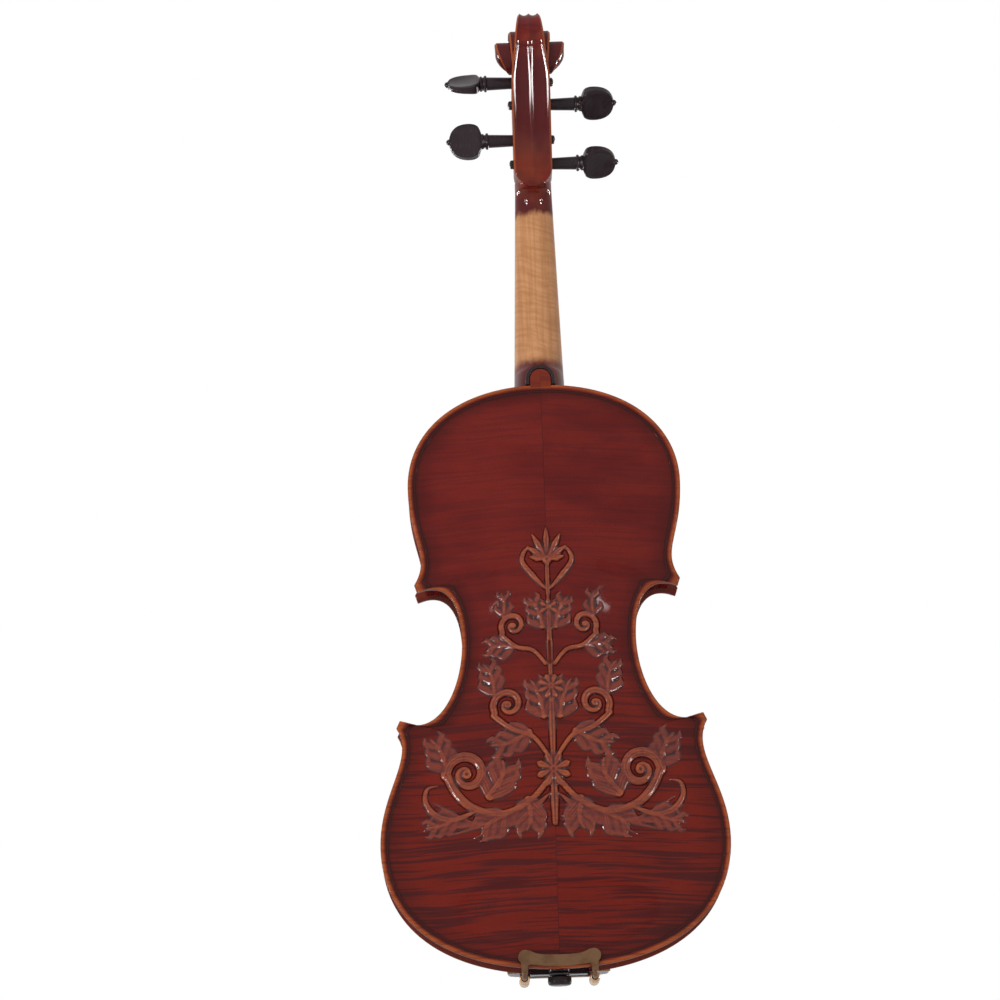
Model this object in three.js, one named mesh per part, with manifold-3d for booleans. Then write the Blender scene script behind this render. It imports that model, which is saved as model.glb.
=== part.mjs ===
// A full-size violin with a carved back, in millimetres, standing upright with its scroll at the top.
// +Z runs from the tail to the scroll, the back faces -Y, the strings face +Y, and +X is the bass side.
// Sizes are first laid out from the bottom edge of the body's centre line, on the face of the back's
// edge; the finished group is then moved so that the hanger point under the scroll is the origin.
import * as THREE from 'three';
import { mergeVertices } from 'three/addons/utils/BufferGeometryUtils.js';
import Module from 'manifold-3d';

const wasm = await Module();
wasm.setup();

// Clearances and drawing steps
const glueLine = 0.3;
const turningGap = 0.3;
const overrun = 2;
const fullTurn = 2 * Math.PI;
const quarterTurn = Math.PI / 2;

// Body outline
const body = {
  length: 356,
  upperWidth: 165.5,
  waistWidth: 105,
  lowerWidth: 209.6,
  upperCornerWidth: 160.8,
  upperCornerEndDepth: 1.6,
  upperCornerEndHeight: 4.7,
  lowerCornerWidth: 186.8,
  lowerCornerEndDepth: 2.1,
  lowerCornerEndHeight: 4.4,
};
// Heights up the body, as shares of its length: widest and narrowest places, corners, and the points of
// the centre line from which the arching spreads
const heightShares = {
  upperWidest: 0.825,
  upperCorner: 0.6573,
  waist: 0.5576,
  lowerCorner: 0.4129,
  lowerWidest: 0.2107,
  upperSpine: 0.8596,
  upperCornerSpine: 0.736,
  lowerCornerSpine: 0.3427,
  lowerSpine: 0.1854,
  archPeak: 0.5225,
  archHalfSpan: 0.3483,
  soundHoleTop: 0.5562,
  soundHoleFoot: 0.382,
};
const upBody = (place) => heightShares[place] * body.length;
const archEndFallShare = 0.14;

// Plates, ribs and what is glued inside
const plate = {
  edgeThickness: 4,
  backArch: 15.5,
  bellyArch: 16,
  thickness: 3.4,
  edgeRounding: 1,
  channelInset: 7,
  channelDepth: 0.9,
  borderInset: 9,
};
const purfling = { inset: 4.2, width: 1.3, depth: 2 };
const rib = { height: 30.4, thickness: 1.2, overhang: 2.8 };
const lining = { height: 7, thickness: 2 };
const block = { endWidth: 46, endDepth: 15, neckWidth: 54, neckDepth: 18, cornerReach: 15 };
const bassBar = { fromTop: 43.5, fromBottom: 47.5, thickness: 5.5, depth: 11, offset: 15.5, endDepth: 2.5 };
const soundPost = { radius: 3, offset: 19, belowBridge: 6 };

// Sound holes, drawn for one side and mirrored
const soundHole = {
  upperEyeOffset: 23.5,
  upperEyeRadius: 3.4,
  lowerEyeOffset: 41,
  lowerEyeRadius: 4.4,
  stemWidth: 6.2,
  notchDepth: 1.6,
  notchHeight: 2.6,
};
const notchShares = { down: 0.5968, across: 0.618 };

// Neck, pegbox and scroll
const neck = {
  length: 130,
  slopeDeg: 6,
  overstand: 6,
  nutWidth: 22.6,
  thicknessAtNut: 13.6,
  thicknessAtHeel: 15.6,
  heelEndZ: 400,
  throatStartZ: 474,
  mortiseDepth: 6,
  buttonRadius: 9,
  buttonRise: 3.5,
  crownWidth: 2.3,
};
const fingerboard = { length: 270, endWidth: 40.6, edgeThickness: 5, radius: 42, hollowDepth: 3 };
const nut = { thickness: 5.4, lift: 0.7 };
const pegbox = {
  width: 23.8,
  chinY: 8.5,
  chinBelowNut: 2,
  frontSlope: 0.105,
  wall: 4.4,
  floor: 7,
  cavityStart: 6.5,
  cavityEndBelowEye: 6.5,
  backBow: 1.6,
  fluteDepth: 1.2,
};
const scroll = {
  eyeY: 1,
  eyeAboveNut: 79.5,
  eyeWidth: 43.2,
  rise: 26.2,
  fluteDepth: 1,
  dishDepth: 0.7,
  wallFoot: 0.4,
};

// Fittings
const pegAboveNut = { gLength: 15, eLength: 30, dLength: 52, aLength: 66 };
const stringOffset = { lowerPegsLength: 5.6, upperPegsLength: 5.2 };
const pegs = [
  { name: 'g', along: pegAboveNut.gLength, side: 1, turnDeg: 48, offset: stringOffset.lowerPegsLength },
  { name: 'e', along: pegAboveNut.eLength, side: -1, turnDeg: 8, offset: stringOffset.lowerPegsLength },
  { name: 'd', along: pegAboveNut.dLength, side: 1, turnDeg: 40, offset: stringOffset.upperPegsLength },
  { name: 'a', along: pegAboveNut.aLength, side: -1, turnDeg: 66, offset: stringOffset.upperPegsLength },
];
const peg = {
  belowFront: 9.2,
  collarX: 27,
  collarLength: 5,
  collarRadius: 5.2,
  shankRadius: 4.1,
  taper: 1 / 30,
  farEnd: 1.4,
  headLength: 19.4,
  headWidth: 22.8,
  neckThickness: 7,
  rimThickness: 5.2,
  hollowDepth: 1.2,
  tipRadius: 1.9,
};
const bridge = {
  height: 33,
  footWidth: 41.5,
  topWidth: 37.5,
  footThickness: 4.4,
  topThickness: 1.5,
  topRadius: 42,
};
const strings = [
  { name: 'g', radius: 0.4, spread: 1, look: 'woundMetal' },
  { name: 'd', radius: 0.36, spread: 1 / 3, look: 'woundMetal' },
  { name: 'a', radius: 0.34, spread: -1 / 3, look: 'woundMetal' },
  { name: 'e', radius: 0.25, spread: -1, look: 'steel' },
];
const stringing = { atNut: 8, atBridge: 16.8, atTail: 13.4, seat: 0.45, ballRadius: 1.2 };
const stringSides = 8;
const grooveSides = 6;
const winding = { pitch: 1.5, seat: 0.35 };
const windingTurns = 3;
const windingSteps = 24;
const windingSides = 6;
const tailpiece = {
  length: 106,
  headWidth: 41,
  endWidth: 22,
  edgeThickness: 2.5,
  crownRadius: 54,
  startY: 49.2,
  startZ: 6,
  tiltDeg: 7.5,
  fretFromHead: 5,
  fretRise: 1.2,
  fretWidth: 2,
  ballDepth: 2.6,
  ballFromHead: 13,
};
const tailGut = { radius: 1, spread: 4.6, reach: 9 };
const gutSides = 6;
const gutSteps = 30;
const saddle = { width: 35, depth: 6.4, height: 7.6, edge: 2.2 };
const endButton = {
  neckRadius: 4.2,
  taperEndRadius: 3.2,
  taperLength: 19,
  collarRadius: 6.1,
  collarLength: 2.6,
  grooveRadius: 4.2,
  grooveLength: 2.9,
  headRadius: 7.1,
  headLength: 5.4,
};
const chinrest = {
  cupX: 54,
  cupZ: 42,
  cupHalfX: 36,
  cupHalfZ: 28,
  cupTopY: 66,
  thickness: 6,
  dish: 4.5,
  barHalf: 31,
  barY: 58,
  barThickness: 4,
  barToZ: 26,
  footFrom: 18.6,
  footFromZ: 7.2,
  footToZ: 13,
  footHeight: 4.5,
  legFromZ: 1.6,
  corkThickness: 2,
};
const clamp = {
  rodX: 21,
  rodRadius: 1.6,
  rodZ: -4.4,
  lowerRodTo: 21,
  upperRodFrom: 26,
  barrelRadius: 3.1,
  barrelFrom: 10,
  barrelLength: 27,
  plateFromZ: 4.6,
  plateToZ: 9.4,
  lobeRadius: 4.4,
  lobeZ: 7,
  plateY: -1.5,
  plateThickness: 1.5,
  tabHalf: 2.6,
  upperPlateY: 50,
  upperPlateWidth: 6.5,
  upperPlateThickness: 1.5,
  keyHoleRadius: 0.8,
};
const rodSides = 8;
const rodSteps = 12;
const tuner = {
  screwRadius: 1.3,
  screwFromHead: 14,
  travel: 2.5,
  headRadius: 3,
  headHeight: 4.5,
  leverWidth: 3.4,
  bodyWidth: 7,
  plateThickness: 1.6,
  plateFromHead: 18,
  plateToHead: 2.4,
  cheek: 1.7,
  pinY: 2.4,
  pinBeyondHead: 2.2,
  pinRadius: 0.7,
  ballBehind: 3.4,
  armWidth: 1.9,
  armGap: 1.2,
  armFromHead: 16,
  bossRadius: 2.5,
  bossHeight: 2.5,
};
const hanger = { belowEye: 20 };

// Finishes
const finish = {
  varnish: [0x6e1f17, 0.28, 0],
  bareMaple: [0xb98a55, 0.5, 0],
  innerWood: [0xc9a878, 0.8, 0],
  spruce: [0xd9b98a, 0.8, 0],
  ebony: [0x17120f, 0.35, 0],
  purflingWood: [0x1d120d, 0.6, 0],
  bridgeMaple: [0xd2ab72, 0.6, 0],
  cork: [0xb08656, 0.95, 0],
  gilt: [0xa07a48, 0.35, 0.9],
  steel: [0xb9bcc0, 0.3, 1],
  woundMetal: [0xa6a8ab, 0.35, 1],
  gutPlastic: [0x1a1a1c, 0.5, 0],
};

// Facet counts
const roundSteps = 10;
const buttonSides = 14;
const eyeSides = 10;
const postSides = 10;
const crownSteps = 6;
const cupSides = 22;
const pegSides = 10;
const pinSides = 6;
const barSteps = 10;
const stemSteps = 16;
const sectionSteps = 12;
const voluteTurnSteps = 20;
const stretchSteps = { top: 6, side: 5, waistTop: 5, waistEnd: 5, lowerSide: 4, bottom: 6 };
const shareStep = 1 / 4096;

// Shapes as shares. The outline's stretches: how far each handle reaches along its stretch
const topShares = [0.64, 0.556];
const sideShares = [0.591, 0.303, 0.617];
const waistTopShares = [0.817, 0.279, 0.569];
const waistEndShares = [0.542, 0.63, 0.273];
const lowerSideShares = [0.269, 0.577, 0.47];
const bottomShares = [0.637, 0.609];

// Arching: where the rings of the two skins lie between the channel and the centre line
const archShares = [0.2, 0.42, 0.7, 1];
const hollowShares = [0.3, 0.65, 1];
const climbPower = 0.78;

// Where ribs, linings and corner blocks begin and end on their stretches
const ribEndShares = { upper: 0.91, waistStart: 0.1, waistEnd: 0.9, lower: 0.1 };
const blockReachShares = { upperFrom: 0.7, upperTo: 0.84, waistFrom: 0.19, waistTo: 0.32 };
const liningEndShares = { upper: 0.68, waistStart: 0.36, bottom: 0.74 };

// Sound hole's stem: across, down and width
const stemShares = [
  [-0.12, -0.01, 0.2], [0.02, -0.1, 0.35], [0.3, -0.1, 0.6], [0.52, 0.06, 0.95],
  [0.56, 0.3, 1], [0.6, 0.5, 1], [0.64, 0.7, 1], [0.68, 0.94, 0.95],
  [0.9, 1.1, 0.6], [1.18, 1.1, 0.35], [1.28, 1.01, 0.2],
];

// Neck: squareness of the heel, fullness of the handle, and how the heel's cap and the curves step on
const heelSquareness = 0.35;
const handleFullness = 0.85;
const capAngleShares = [0, 0.35, 0.65, 0.85, 1];
const sweepShares = [0.12, 0.3, 0.5, 0.75, 1];

// Pegbox sections from the chin to the eye, and how far each one's front sinks to the floor
const pegboxShares = [0, 0.1, 0.3, 0.55, 0.78, 0.9, 1];
const frontFadeShares = [0, 0, 0, 0, 0, 0.34, 0.9];

// Volute: radius and half width at each quarter turn, from the pegbox's back over the top to the eye
const radiusShares = [0.706, 1, 0.82, 0.63, 0.58, 0.555, 0.481, 0.412, 0.344, 0.294, 0.272, 0.26];
const widthShares = [0.52, 0.38, 0.3, 0.46, 0.555, 0.58, 0.6, 0.635, 0.9, 1, 0.95, 0.825];
const eyeCrownShare = 0.125;

// Peg: the head's width and thickness from its neck to its tip, and the collar's radius along its length
const headShares = [
  [0, 0.24, 1], [0.07, 0.3, 0.95], [0.2, 0.58, 0.85], [0.36, 0.88, 0.76], [0.54, 1, 0.74],
  [0.72, 0.96, 0.74], [0.85, 0.78, 0.74], [0.94, 0.48, 0.7], [1, 0.16, 0.5],
];
const collarShares = [
  [0, 0.9], [0.08, 1], [0.33, 1], [0.43, 0.78], [0.53, 0.78], [0.67, 0.92], [0.83, 0.92], [1, 0.62],
];
const shankEndShares = [[0.33, 0], [0.25, 0.7]];

// Fingerboard's underside from edge to edge, and how the tailpiece and its fret narrow
const underShares = [[-1, 0], [-0.8, 0], [-0.4, 0.85], [0, 1], [0.4, 0.85], [0.8, 0], [1, 0]];
const tailEndShares = [[0, 0.8], [0.02, 1], [0.5, 1], [0.97, 1], [1, 0.9]];
const fretWidthShare = 0.9;

// Bridge: its edge from the top corner round to the foot and the arch between the feet, and the heart
const bridgeEdgeShares = [
  [0.9, 0.84], [0.85, 0.78], [0.78, 0.72], [0.62, 0.7], [0.56, 0.61], [0.66, 0.53], [0.8, 0.5],
  [0.82, 0.42], [0.74, 0.3], [0.78, 0.16], [0.9, 0.1], [1, 0.07], [1, -0.1], [0.44, -0.1],
  [0.46, 0.08], [0.5, 0.16], [0.4, 0.26], [0.2, 0.3], [0, 0.28],
];
const heartShares = [[0, 0.64], [0.08, 0.67], [0.14, 0.62], [0.1, 0.52], [0, 0.46]];

// String's ball, the tail cord over the saddle, the chinrest's cup, and the clamp rods' bends
const ballShares = [[-1, 0.45], [-0.5, 0.9], [0.5, 0.9], [1, 0.45]];
const saddleCordShares = [0.7, 0.15];
const cupSquareness = 0.8;
const cupUnderShares = [[0.5, 0], [0.88, 0.1], [1, 0.6], [1, 0.85]];
const cupDishShares = [[0.97, 0], [0.92, 0.1], [0.75, 0.6], [0.5, 0.88], [0.25, 1]];
const upperBendShare = 0.9;
const lowerBendShare = 0.85;
const bevelShare = 0.2;

const lerp = THREE.MathUtils.lerp;

// Levels across the body, from the back to the belly
const ribStartY = plate.edgeThickness + glueLine;
const ribEndY = ribStartY + rib.height;
const ribMiddleY = (ribStartY + ribEndY) / 2;
const bellyInnerY = ribEndY + glueLine;
const bellyOuterY = bellyInnerY + plate.edgeThickness;
const bridgeZ = lerp(upBody('soundHoleTop'), upBody('soundHoleFoot'), notchShares.down);
const nutZ = body.length + neck.length;
const chinZ = nutZ - pegbox.chinBelowNut;
const eyeZ = nutZ + scroll.eyeAboveNut;
const cavityEndZ = eyeZ - pegbox.cavityEndBelowEye;
const slope = THREE.MathUtils.degToRad(neck.slopeDeg);
const heelTopY = bellyOuterY + neck.overstand;
const nutY = heelTopY - neck.length * Math.tan(slope);
const neckTopY = (z) => nutY + (nutZ - z) * Math.tan(slope);
const boardWidth = (down) => {
  const share = down / fingerboard.length;
  return neck.nutWidth + (fingerboard.endWidth - neck.nutWidth) * share;
};

// Meshes and solids
const toSolid = (geometry) => {
  const bare = geometry.clone();
  bare.deleteAttribute('normal');
  bare.deleteAttribute('uv');
  const merged = mergeVertices(bare, 1e-4);
  const vertProperties = new Float32Array(merged.attributes.position.array);
  const triVerts = new Uint32Array(merged.index.array);
  return new wasm.Manifold(new wasm.Mesh({ numProp: 3, vertProperties, triVerts }));
};
const toGeometry = (solid) => {
  const mesh = solid.getMesh();
  const geometry = new THREE.BufferGeometry();
  geometry.setAttribute('position', new THREE.BufferAttribute(mesh.vertProperties, mesh.numProp));
  geometry.setIndex(new THREE.BufferAttribute(mesh.triVerts, 1));
  geometry.computeVertexNormals();
  return geometry;
};
// The largest of the bodies that a cut leaves, without the slivers under a cutter's edge
const largest = (solid) => solid.decompose().sort((a, b) => b.volume() - a.volume())[0];
const cut = (geometry, ...tools) =>
  toGeometry(largest(tools.reduce((rest, tool) => rest.subtract(toSolid(tool)), toSolid(geometry))));
const join = (...pieces) =>
  toGeometry(pieces.slice(1).reduce((sum, piece) => sum.add(toSolid(piece)), toSolid(pieces[0])));
const meshOf = (points, faces) => {
  const geometry = new THREE.BufferGeometry();
  geometry.setAttribute('position', new THREE.Float32BufferAttribute(points.flat(), 3));
  geometry.setIndex(faces.flat());
  geometry.computeVertexNormals();
  return geometry;
};

// A closed skin over a list of rings, each a list of points in the same turning sense
const skinRings = (rings, closeEnds = true) => {
  const count = rings[0].length;
  const faces = [];
  rings.slice(1).forEach((ring, r) => {
    for (let i = 0; i < count; i += 1) {
      const next = (i + 1) % count;
      const [a, b] = [r * count + i, r * count + next];
      faces.push([a, b, b + count], [a, b + count, a + count]);
    }
  });
  if (closeEnds) {
    const last = (rings.length - 1) * count;
    for (let i = 1; i < count - 1; i += 1) {
      faces.push([0, i + 1, i], [last, last + i, last + i + 1]);
    }
  }
  return meshOf(rings.flat(), faces);
};

const box = (from, to) => {
  const size = to.map((high, i) => high - from[i]);
  const geometry = new THREE.BoxGeometry(...size);
  return geometry.translate(...from.map((low, i) => low + size[i] / 2));
};

// A turned piece: profile pairs are [radius, distance along the axis]
const turned = (profile, sides) => {
  const points = profile.map(([radius, y]) => new THREE.Vector2(radius, y));
  return new THREE.LatheGeometry(points, sides);
};
const rod = (radius, from, to, sides) => turned([[0, from], [radius, from], [radius, to], [0, to]], sides);
const alongX = (geometry) => geometry.rotateZ(-quarterTurn);
const alongZ = (geometry) => geometry.rotateX(quarterTurn);

// A flat outline in X and Z, given thickness from one level of Y to another
const slab = (shape, fromY, toY) => {
  const geometry = new THREE.ExtrudeGeometry(shape, { depth: toY - fromY, bevelEnabled: false });
  return geometry.rotateX(quarterTurn).translate(0, toY, 0);
};
const shapeOf = (points) => new THREE.Shape(points.map(([x, z]) => new THREE.Vector2(x, z)));

// A tube along a list of points, closed at both ends
const tube = (points, radius, sides, steps) => {
  const path = new THREE.CatmullRomCurve3(points.map((p) => new THREE.Vector3(...p)));
  const section = new THREE.Shape();
  section.absarc(0, 0, radius, 0, fullTurn);
  const polygon = new THREE.Shape(section.getSpacedPoints(sides).slice(0, sides));
  return new THREE.ExtrudeGeometry(polygon, { steps, extrudePath: path, curveSegments: sides });
};

// Body outline: one side, from the top centre to the bottom centre, as smooth stretches and corner cuts
const halfOutline = () => {
  const upperX = body.upperWidth / 2;
  const waistX = body.waistWidth / 2;
  const lowerX = body.lowerWidth / 2;
  const tipX = body.upperCornerWidth / 2;
  const tipZ = upBody('upperCorner');
  const tipInX = tipX - body.upperCornerEndDepth;
  const tipInZ = tipZ - body.upperCornerEndHeight;
  const toeX = body.lowerCornerWidth / 2;
  const toeZ = upBody('lowerCorner');
  const toeInX = toeX - body.lowerCornerEndDepth;
  const toeInZ = toeZ + body.lowerCornerEndHeight;
  const [upperZ, waistZ, lowerZ] = ['upperWidest', 'waist', 'lowerWidest'].map(upBody);
  const crownDrop = body.length - upperZ;
  const sideDrop = upperZ - tipZ;
  const waistRise = tipInZ - waistZ;
  const waistDrop = waistZ - toeInZ;
  const lowerDrop = toeZ - lowerZ;
  const [topX, topZ] = topShares;
  const [sideFall, sideEnd, sideTurn] = sideShares;
  const [waistOut, waistLift, waistUp] = waistTopShares;
  const [waistDown, waistReach, waistFlat] = waistEndShares;
  const [toeFall, toeTurn, lowerRise] = lowerSideShares;
  const [bottomZ, bottomX] = bottomShares;
  const stretch = (...p) => new THREE.CubicBezierCurve(...p.map(([x, z]) => new THREE.Vector2(x, z)));
  return {
    top: stretch([0, body.length], [topX * upperX, body.length],
      [upperX, upperZ + topZ * crownDrop], [upperX, upperZ]),
    side: stretch([upperX, upperZ], [upperX, upperZ - sideFall * sideDrop],
      [tipX - sideEnd * sideTurn * sideDrop, tipZ + sideEnd * sideDrop], [tipX, tipZ]),
    waistTop: stretch([tipInX, tipInZ],
      [tipInX - waistOut * (tipInX - waistX), tipInZ + waistLift * waistRise],
      [waistX, waistZ + waistUp * waistRise], [waistX, waistZ]),
    waistEnd: stretch([waistX, waistZ], [waistX, waistZ - waistDown * waistDrop],
      [toeInX - waistReach * (toeInX - waistX), toeInZ - waistFlat * waistDrop], [toeInX, toeInZ]),
    lowerSide: stretch([toeX, toeZ], [toeX - toeFall * toeTurn * lowerDrop, toeZ - toeFall * lowerDrop],
      [lowerX, lowerZ + lowerRise * lowerDrop], [lowerX, lowerZ]),
    bottom: stretch([lowerX, lowerZ], [lowerX, (1 - bottomZ) * lowerZ],
      [bottomX * lowerX, 0], [0, 0]),
  };
};
const outline = halfOutline();

// Turns a closed mesh's faces outward, whichever way its rings were listed
const outward = (geometry) => {
  const { position } = geometry.attributes;
  const index = geometry.index.array;
  const [a, b, c] = [new THREE.Vector3(), new THREE.Vector3(), new THREE.Vector3()];
  let volume = 0;
  for (let i = 0; i < index.length; i += 3) {
    a.fromBufferAttribute(position, index[i]);
    b.fromBufferAttribute(position, index[i + 1]);
    c.fromBufferAttribute(position, index[i + 2]);
    volume += a.dot(b.cross(c));
  }
  if (volume < 0) {
    for (let i = 0; i < index.length; i += 3) {
      [index[i + 1], index[i + 2]] = [index[i + 2], index[i + 1]];
    }
  }
  geometry.computeVertexNormals();
  return geometry;
};

// Stations down one side: a point of the edge, its inward direction, and where its ray meets the centre line
const sideStations = () => {
  const places = ['upperSpine', 'upperCornerSpine', 'waist', 'lowerCornerSpine', 'lowerSpine'];
  const [upperZ, upperCornerZ, waistZ, lowerCornerZ, lowerZ] = places.map(upBody);
  const spines = {
    top: [upperZ, lerp(upperZ, upperCornerZ, 1 / 2)],
    side: [lerp(upperZ, upperCornerZ, 1 / 2), upperCornerZ],
    waistTop: [lerp(upperCornerZ, waistZ, 1 / 16), waistZ],
    waistEnd: [waistZ, lerp(lowerCornerZ, waistZ, 1 / 16)],
    lowerSide: [lowerCornerZ, lerp(lowerZ, lowerCornerZ, 1 / 2)],
    bottom: [lerp(lowerZ, lowerCornerZ, 1 / 2), lowerZ],
  };
  const stations = [];
  Object.entries(outline).forEach(([name, curve]) => {
    const steps = stretchSteps[name];
    const sharesFirst = name === 'top' || name === 'waistTop' || name === 'lowerSide' ? 0 : 1;
    for (let i = sharesFirst; i <= steps; i += 1) {
      const t = i / steps;
      const point = curve.getPoint(t);
      const along = curve.getTangent(t);
      stations.push({
        x: point.x,
        z: point.y,
        inX: along.y,
        inZ: -along.x,
        spineZ: lerp(spines[name][0], spines[name][1], t),
      });
    }
  });
  return stations;
};
const rightSide = sideStations();
const leftSide = rightSide.slice(1, -1).reverse().map((s) => ({ ...s, x: -s.x, inX: -s.inX }));
const rim = [...rightSide, ...leftSide];

// A point of a station's ray, at a distance in from the edge or at a share of what is left of the ray
const alongRay = (station, inset, share = 0) => {
  const [rayX, rayZ] = [-station.x, station.spineZ - station.z];
  const length = Math.hypot(rayX, rayZ);
  const facing = (rayX * station.inX + rayZ * station.inZ) / length;
  const start = Math.min(inset / Math.max(facing, 1 / 2), length / 2);
  const distance = lerp(start, length, share);
  return [station.x + (rayX / length) * distance, station.z + (rayZ / length) * distance];
};

// Arching: the crest along the centre line, and how a cross section climbs to it from the channel
const crestShare = (z) => 1 - archEndFallShare * ((z - upBody('archPeak')) / upBody('archHalfSpan')) ** 2;
const climb = (share) => (1 - Math.cos(Math.PI * share ** climbPower)) / 2;

const archHeight = (station, share, arch) => {
  const crest = (arch - plate.edgeThickness) * crestShare(station.spineZ);
  return lerp(-plate.channelDepth, crest, climb(share));
};
const ringAt = (inset, height) => rim.map((s) => [...alongRay(s, inset), height]);
const archRing = (share, arch) =>
  rim.map((s) => [...alongRay(s, plate.channelInset, share), archHeight(s, share, arch)]);

// The outer skin and the hollowed inner skin of an arched plate, as rings of [x, z, height].
// The outer skin has the groove that takes the inlaid edge strip.
const edgeFall = (inset) =>
  (-plate.channelDepth * (inset - plate.edgeRounding)) / (plate.channelInset - plate.edgeRounding);
const inlayTop = edgeFall(purfling.inset);
const grooveFrom = purfling.inset - purfling.width / 2 - glueLine;
const grooveTo = purfling.inset + purfling.width / 2 + glueLine;
const grooveFloor = inlayTop - purfling.depth - glueLine;
const outerRings = (arch) => [
  ringAt(0, -plate.edgeThickness),
  ringAt(0, -plate.edgeRounding),
  ringAt(plate.edgeRounding, 0),
  ringAt(grooveFrom, edgeFall(grooveFrom)),
  ringAt(grooveFrom, grooveFloor),
  ringAt(grooveTo, grooveFloor),
  ringAt(grooveTo, edgeFall(grooveTo)),
  ringAt(plate.channelInset, -plate.channelDepth),
  ...archShares.map((share) => archRing(share, arch)),
];
const innerRings = (arch) => [
  ringAt(0, -plate.edgeThickness),
  ringAt(plate.borderInset, -plate.edgeThickness),
  ...hollowShares.map((share) =>
    rim.map((s) => {
      const [x, z] = alongRay(s, plate.borderInset, share);
      const height = archHeight(s, share, arch) - plate.thickness;
      return [x, z, Math.max(height, -plate.edgeThickness)];
    })),
];

const archedPlate = (arch, level) => {
  const place = (ring) => ring.map(([x, z, height]) => [x, level(height), z]);
  const outer = skinRings(outerRings(arch).map(place), false);
  const inner = skinRings(innerRings(arch).reverse().map(place), false);
  const both = [outer, inner].map((g) => g.toNonIndexed());
  const positions = both.flatMap((g) => [...g.attributes.position.array]);
  const geometry = new THREE.BufferGeometry();
  geometry.setAttribute('position', new THREE.Float32BufferAttribute(positions, 3));
  return outward(mergeVertices(geometry, 1e-3));
};
const backLevel = (height) => -height;
const bellyLevel = (height) => bellyOuterY + height;

// The level of a skin of rings at a place of the plate, read from the flat facet that covers it
const heightOn = (rings) => {
  const count = rim.length;
  return (x, z) => {
    let found = null;
    rings.slice(1).forEach((ring, r) => {
      for (let i = 0; i < count && found === null; i += 1) {
        const next = (i + 1) % count;
        const corners = [rings[r][i], rings[r][next], ring[next], ring[i]];
        [[0, 1, 2], [0, 2, 3]].forEach((triangle) => {
          const [a, b, c] = triangle.map((k) => corners[k]);
          const area = (b[0] - a[0]) * (c[1] - a[1]) - (c[0] - a[0]) * (b[1] - a[1]);
          if (area === 0) return;
          const v = ((x - a[0]) * (c[1] - a[1]) - (c[0] - a[0]) * (z - a[1])) / area;
          const w = ((b[0] - a[0]) * (z - a[1]) - (x - a[0]) * (b[1] - a[1])) / area;
          const slack = -1 / 1000;
          const inside = v >= slack && w >= slack && v + w <= 1 - slack;
          if (inside) found = a[2] + v * (b[2] - a[2]) + w * (c[2] - a[2]);
        });
      }
    });
    return found;
  };
};
const bellyRings = outerRings(plate.bellyArch);
const bellyTop = (x, z) => bellyLevel(heightOn(bellyRings)(x, z));
const bellyUnder = (x, z) => bellyLevel(heightOn(innerRings(plate.bellyArch))(x, z));
const backInside = (x, z) => backLevel(heightOn(innerRings(plate.backArch))(x, z));

// Strips that follow the outline at a distance in from the edge. Every strip turns at the same stations,
// and an end between two stations lies on the straight line that joins them.
const stationPoint = (name, share, inset) => {
  const curve = outline[name];
  const point = curve.getPoint(share);
  const along = curve.getTangent(share);
  return [point.x + along.y * inset, point.y - along.x * inset];
};
const insetPoint = (name, share, inset) => {
  const steps = stretchSteps[name];
  const step = Math.min(Math.floor(share * steps), steps - 1);
  const [x0, z0] = stationPoint(name, step / steps, inset);
  const [x1, z1] = stationPoint(name, (step + 1) / steps, inset);
  const rest = share * steps - step;
  return [lerp(x0, x1, rest), lerp(z0, z1, rest)];
};
const stripPoints = (parts, inset) =>
  parts.flatMap(([name, from, to], part) => {
    const steps = stretchSteps[name];
    const inner = Array.from({ length: steps + 1 }, (_, i) => i / steps).filter((t) => t > from && t < to);
    const shares = [...(part > 0 && from === 0 ? [] : [from]), ...inner, to];
    return shares.map((share) => insetPoint(name, share, inset));
  });
const mirrored = (points, side) => points.map(([x, z]) => [side * x, z]);
const strip = (parts, outerInset, innerInset, side) => {
  const outer = stripPoints(parts, outerInset);
  const inner = stripPoints(parts, innerInset).reverse();
  return shapeOf(mirrored([...outer, ...inner], side));
};

// The share of a stretch up to which its points pass a test
const shareWhere = (name, inset, test) => {
  let [low, high] = [0, 1];
  while (high - low > shareStep) {
    const middle = (low + high) / 2;
    if (test(insetPoint(name, middle, inset)[0])) low = middle;
    else high = middle;
  }
  return low;
};
const topShareAt = (limit, inset) => shareWhere('top', inset, (x) => x < limit);
const heelHalfWidth = boardWidth(neck.length) / 2 + turningGap;
const ribRuns = {
  upper: [['top', topShareAt(heelHalfWidth + glueLine, rib.overhang + rib.thickness), 1],
    ['side', 0, ribEndShares.upper]],
  waist: [['waistTop', ribEndShares.waistStart, 1], ['waistEnd', 0, ribEndShares.waistEnd]],
  lower: [['lowerSide', ribEndShares.lower, 1], ['bottom', 0, 1]],
};
const ribInner = rib.overhang + rib.thickness;
const liningOuter = ribInner + glueLine;
const liningRuns = {
  upper: [['top', topShareAt(block.neckWidth / 2 + glueLine, liningOuter + lining.thickness), 1],
    ['side', 0, liningEndShares.upper]],
  waist: [['waistTop', liningEndShares.waistStart, 1], ['waistEnd', 0, 1 - liningEndShares.waistStart]],
  lower: [['lowerSide', 1 - liningEndShares.upper, 1], ['bottom', 0, liningEndShares.bottom]],
};
const sides = [['bass', 1], ['treble', -1]];

const root = new THREE.Group();
root.name = 'violin';
const instrument = new THREE.Group();
root.add(instrument);
const put = (name, geometry, look) => {
  const [color, roughness, metalness] = finish[look];
  const material = new THREE.MeshStandardMaterial({ color, roughness, metalness });
  const mesh = new THREE.Mesh(geometry, material);
  mesh.name = name;
  instrument.add(mesh);
};

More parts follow.
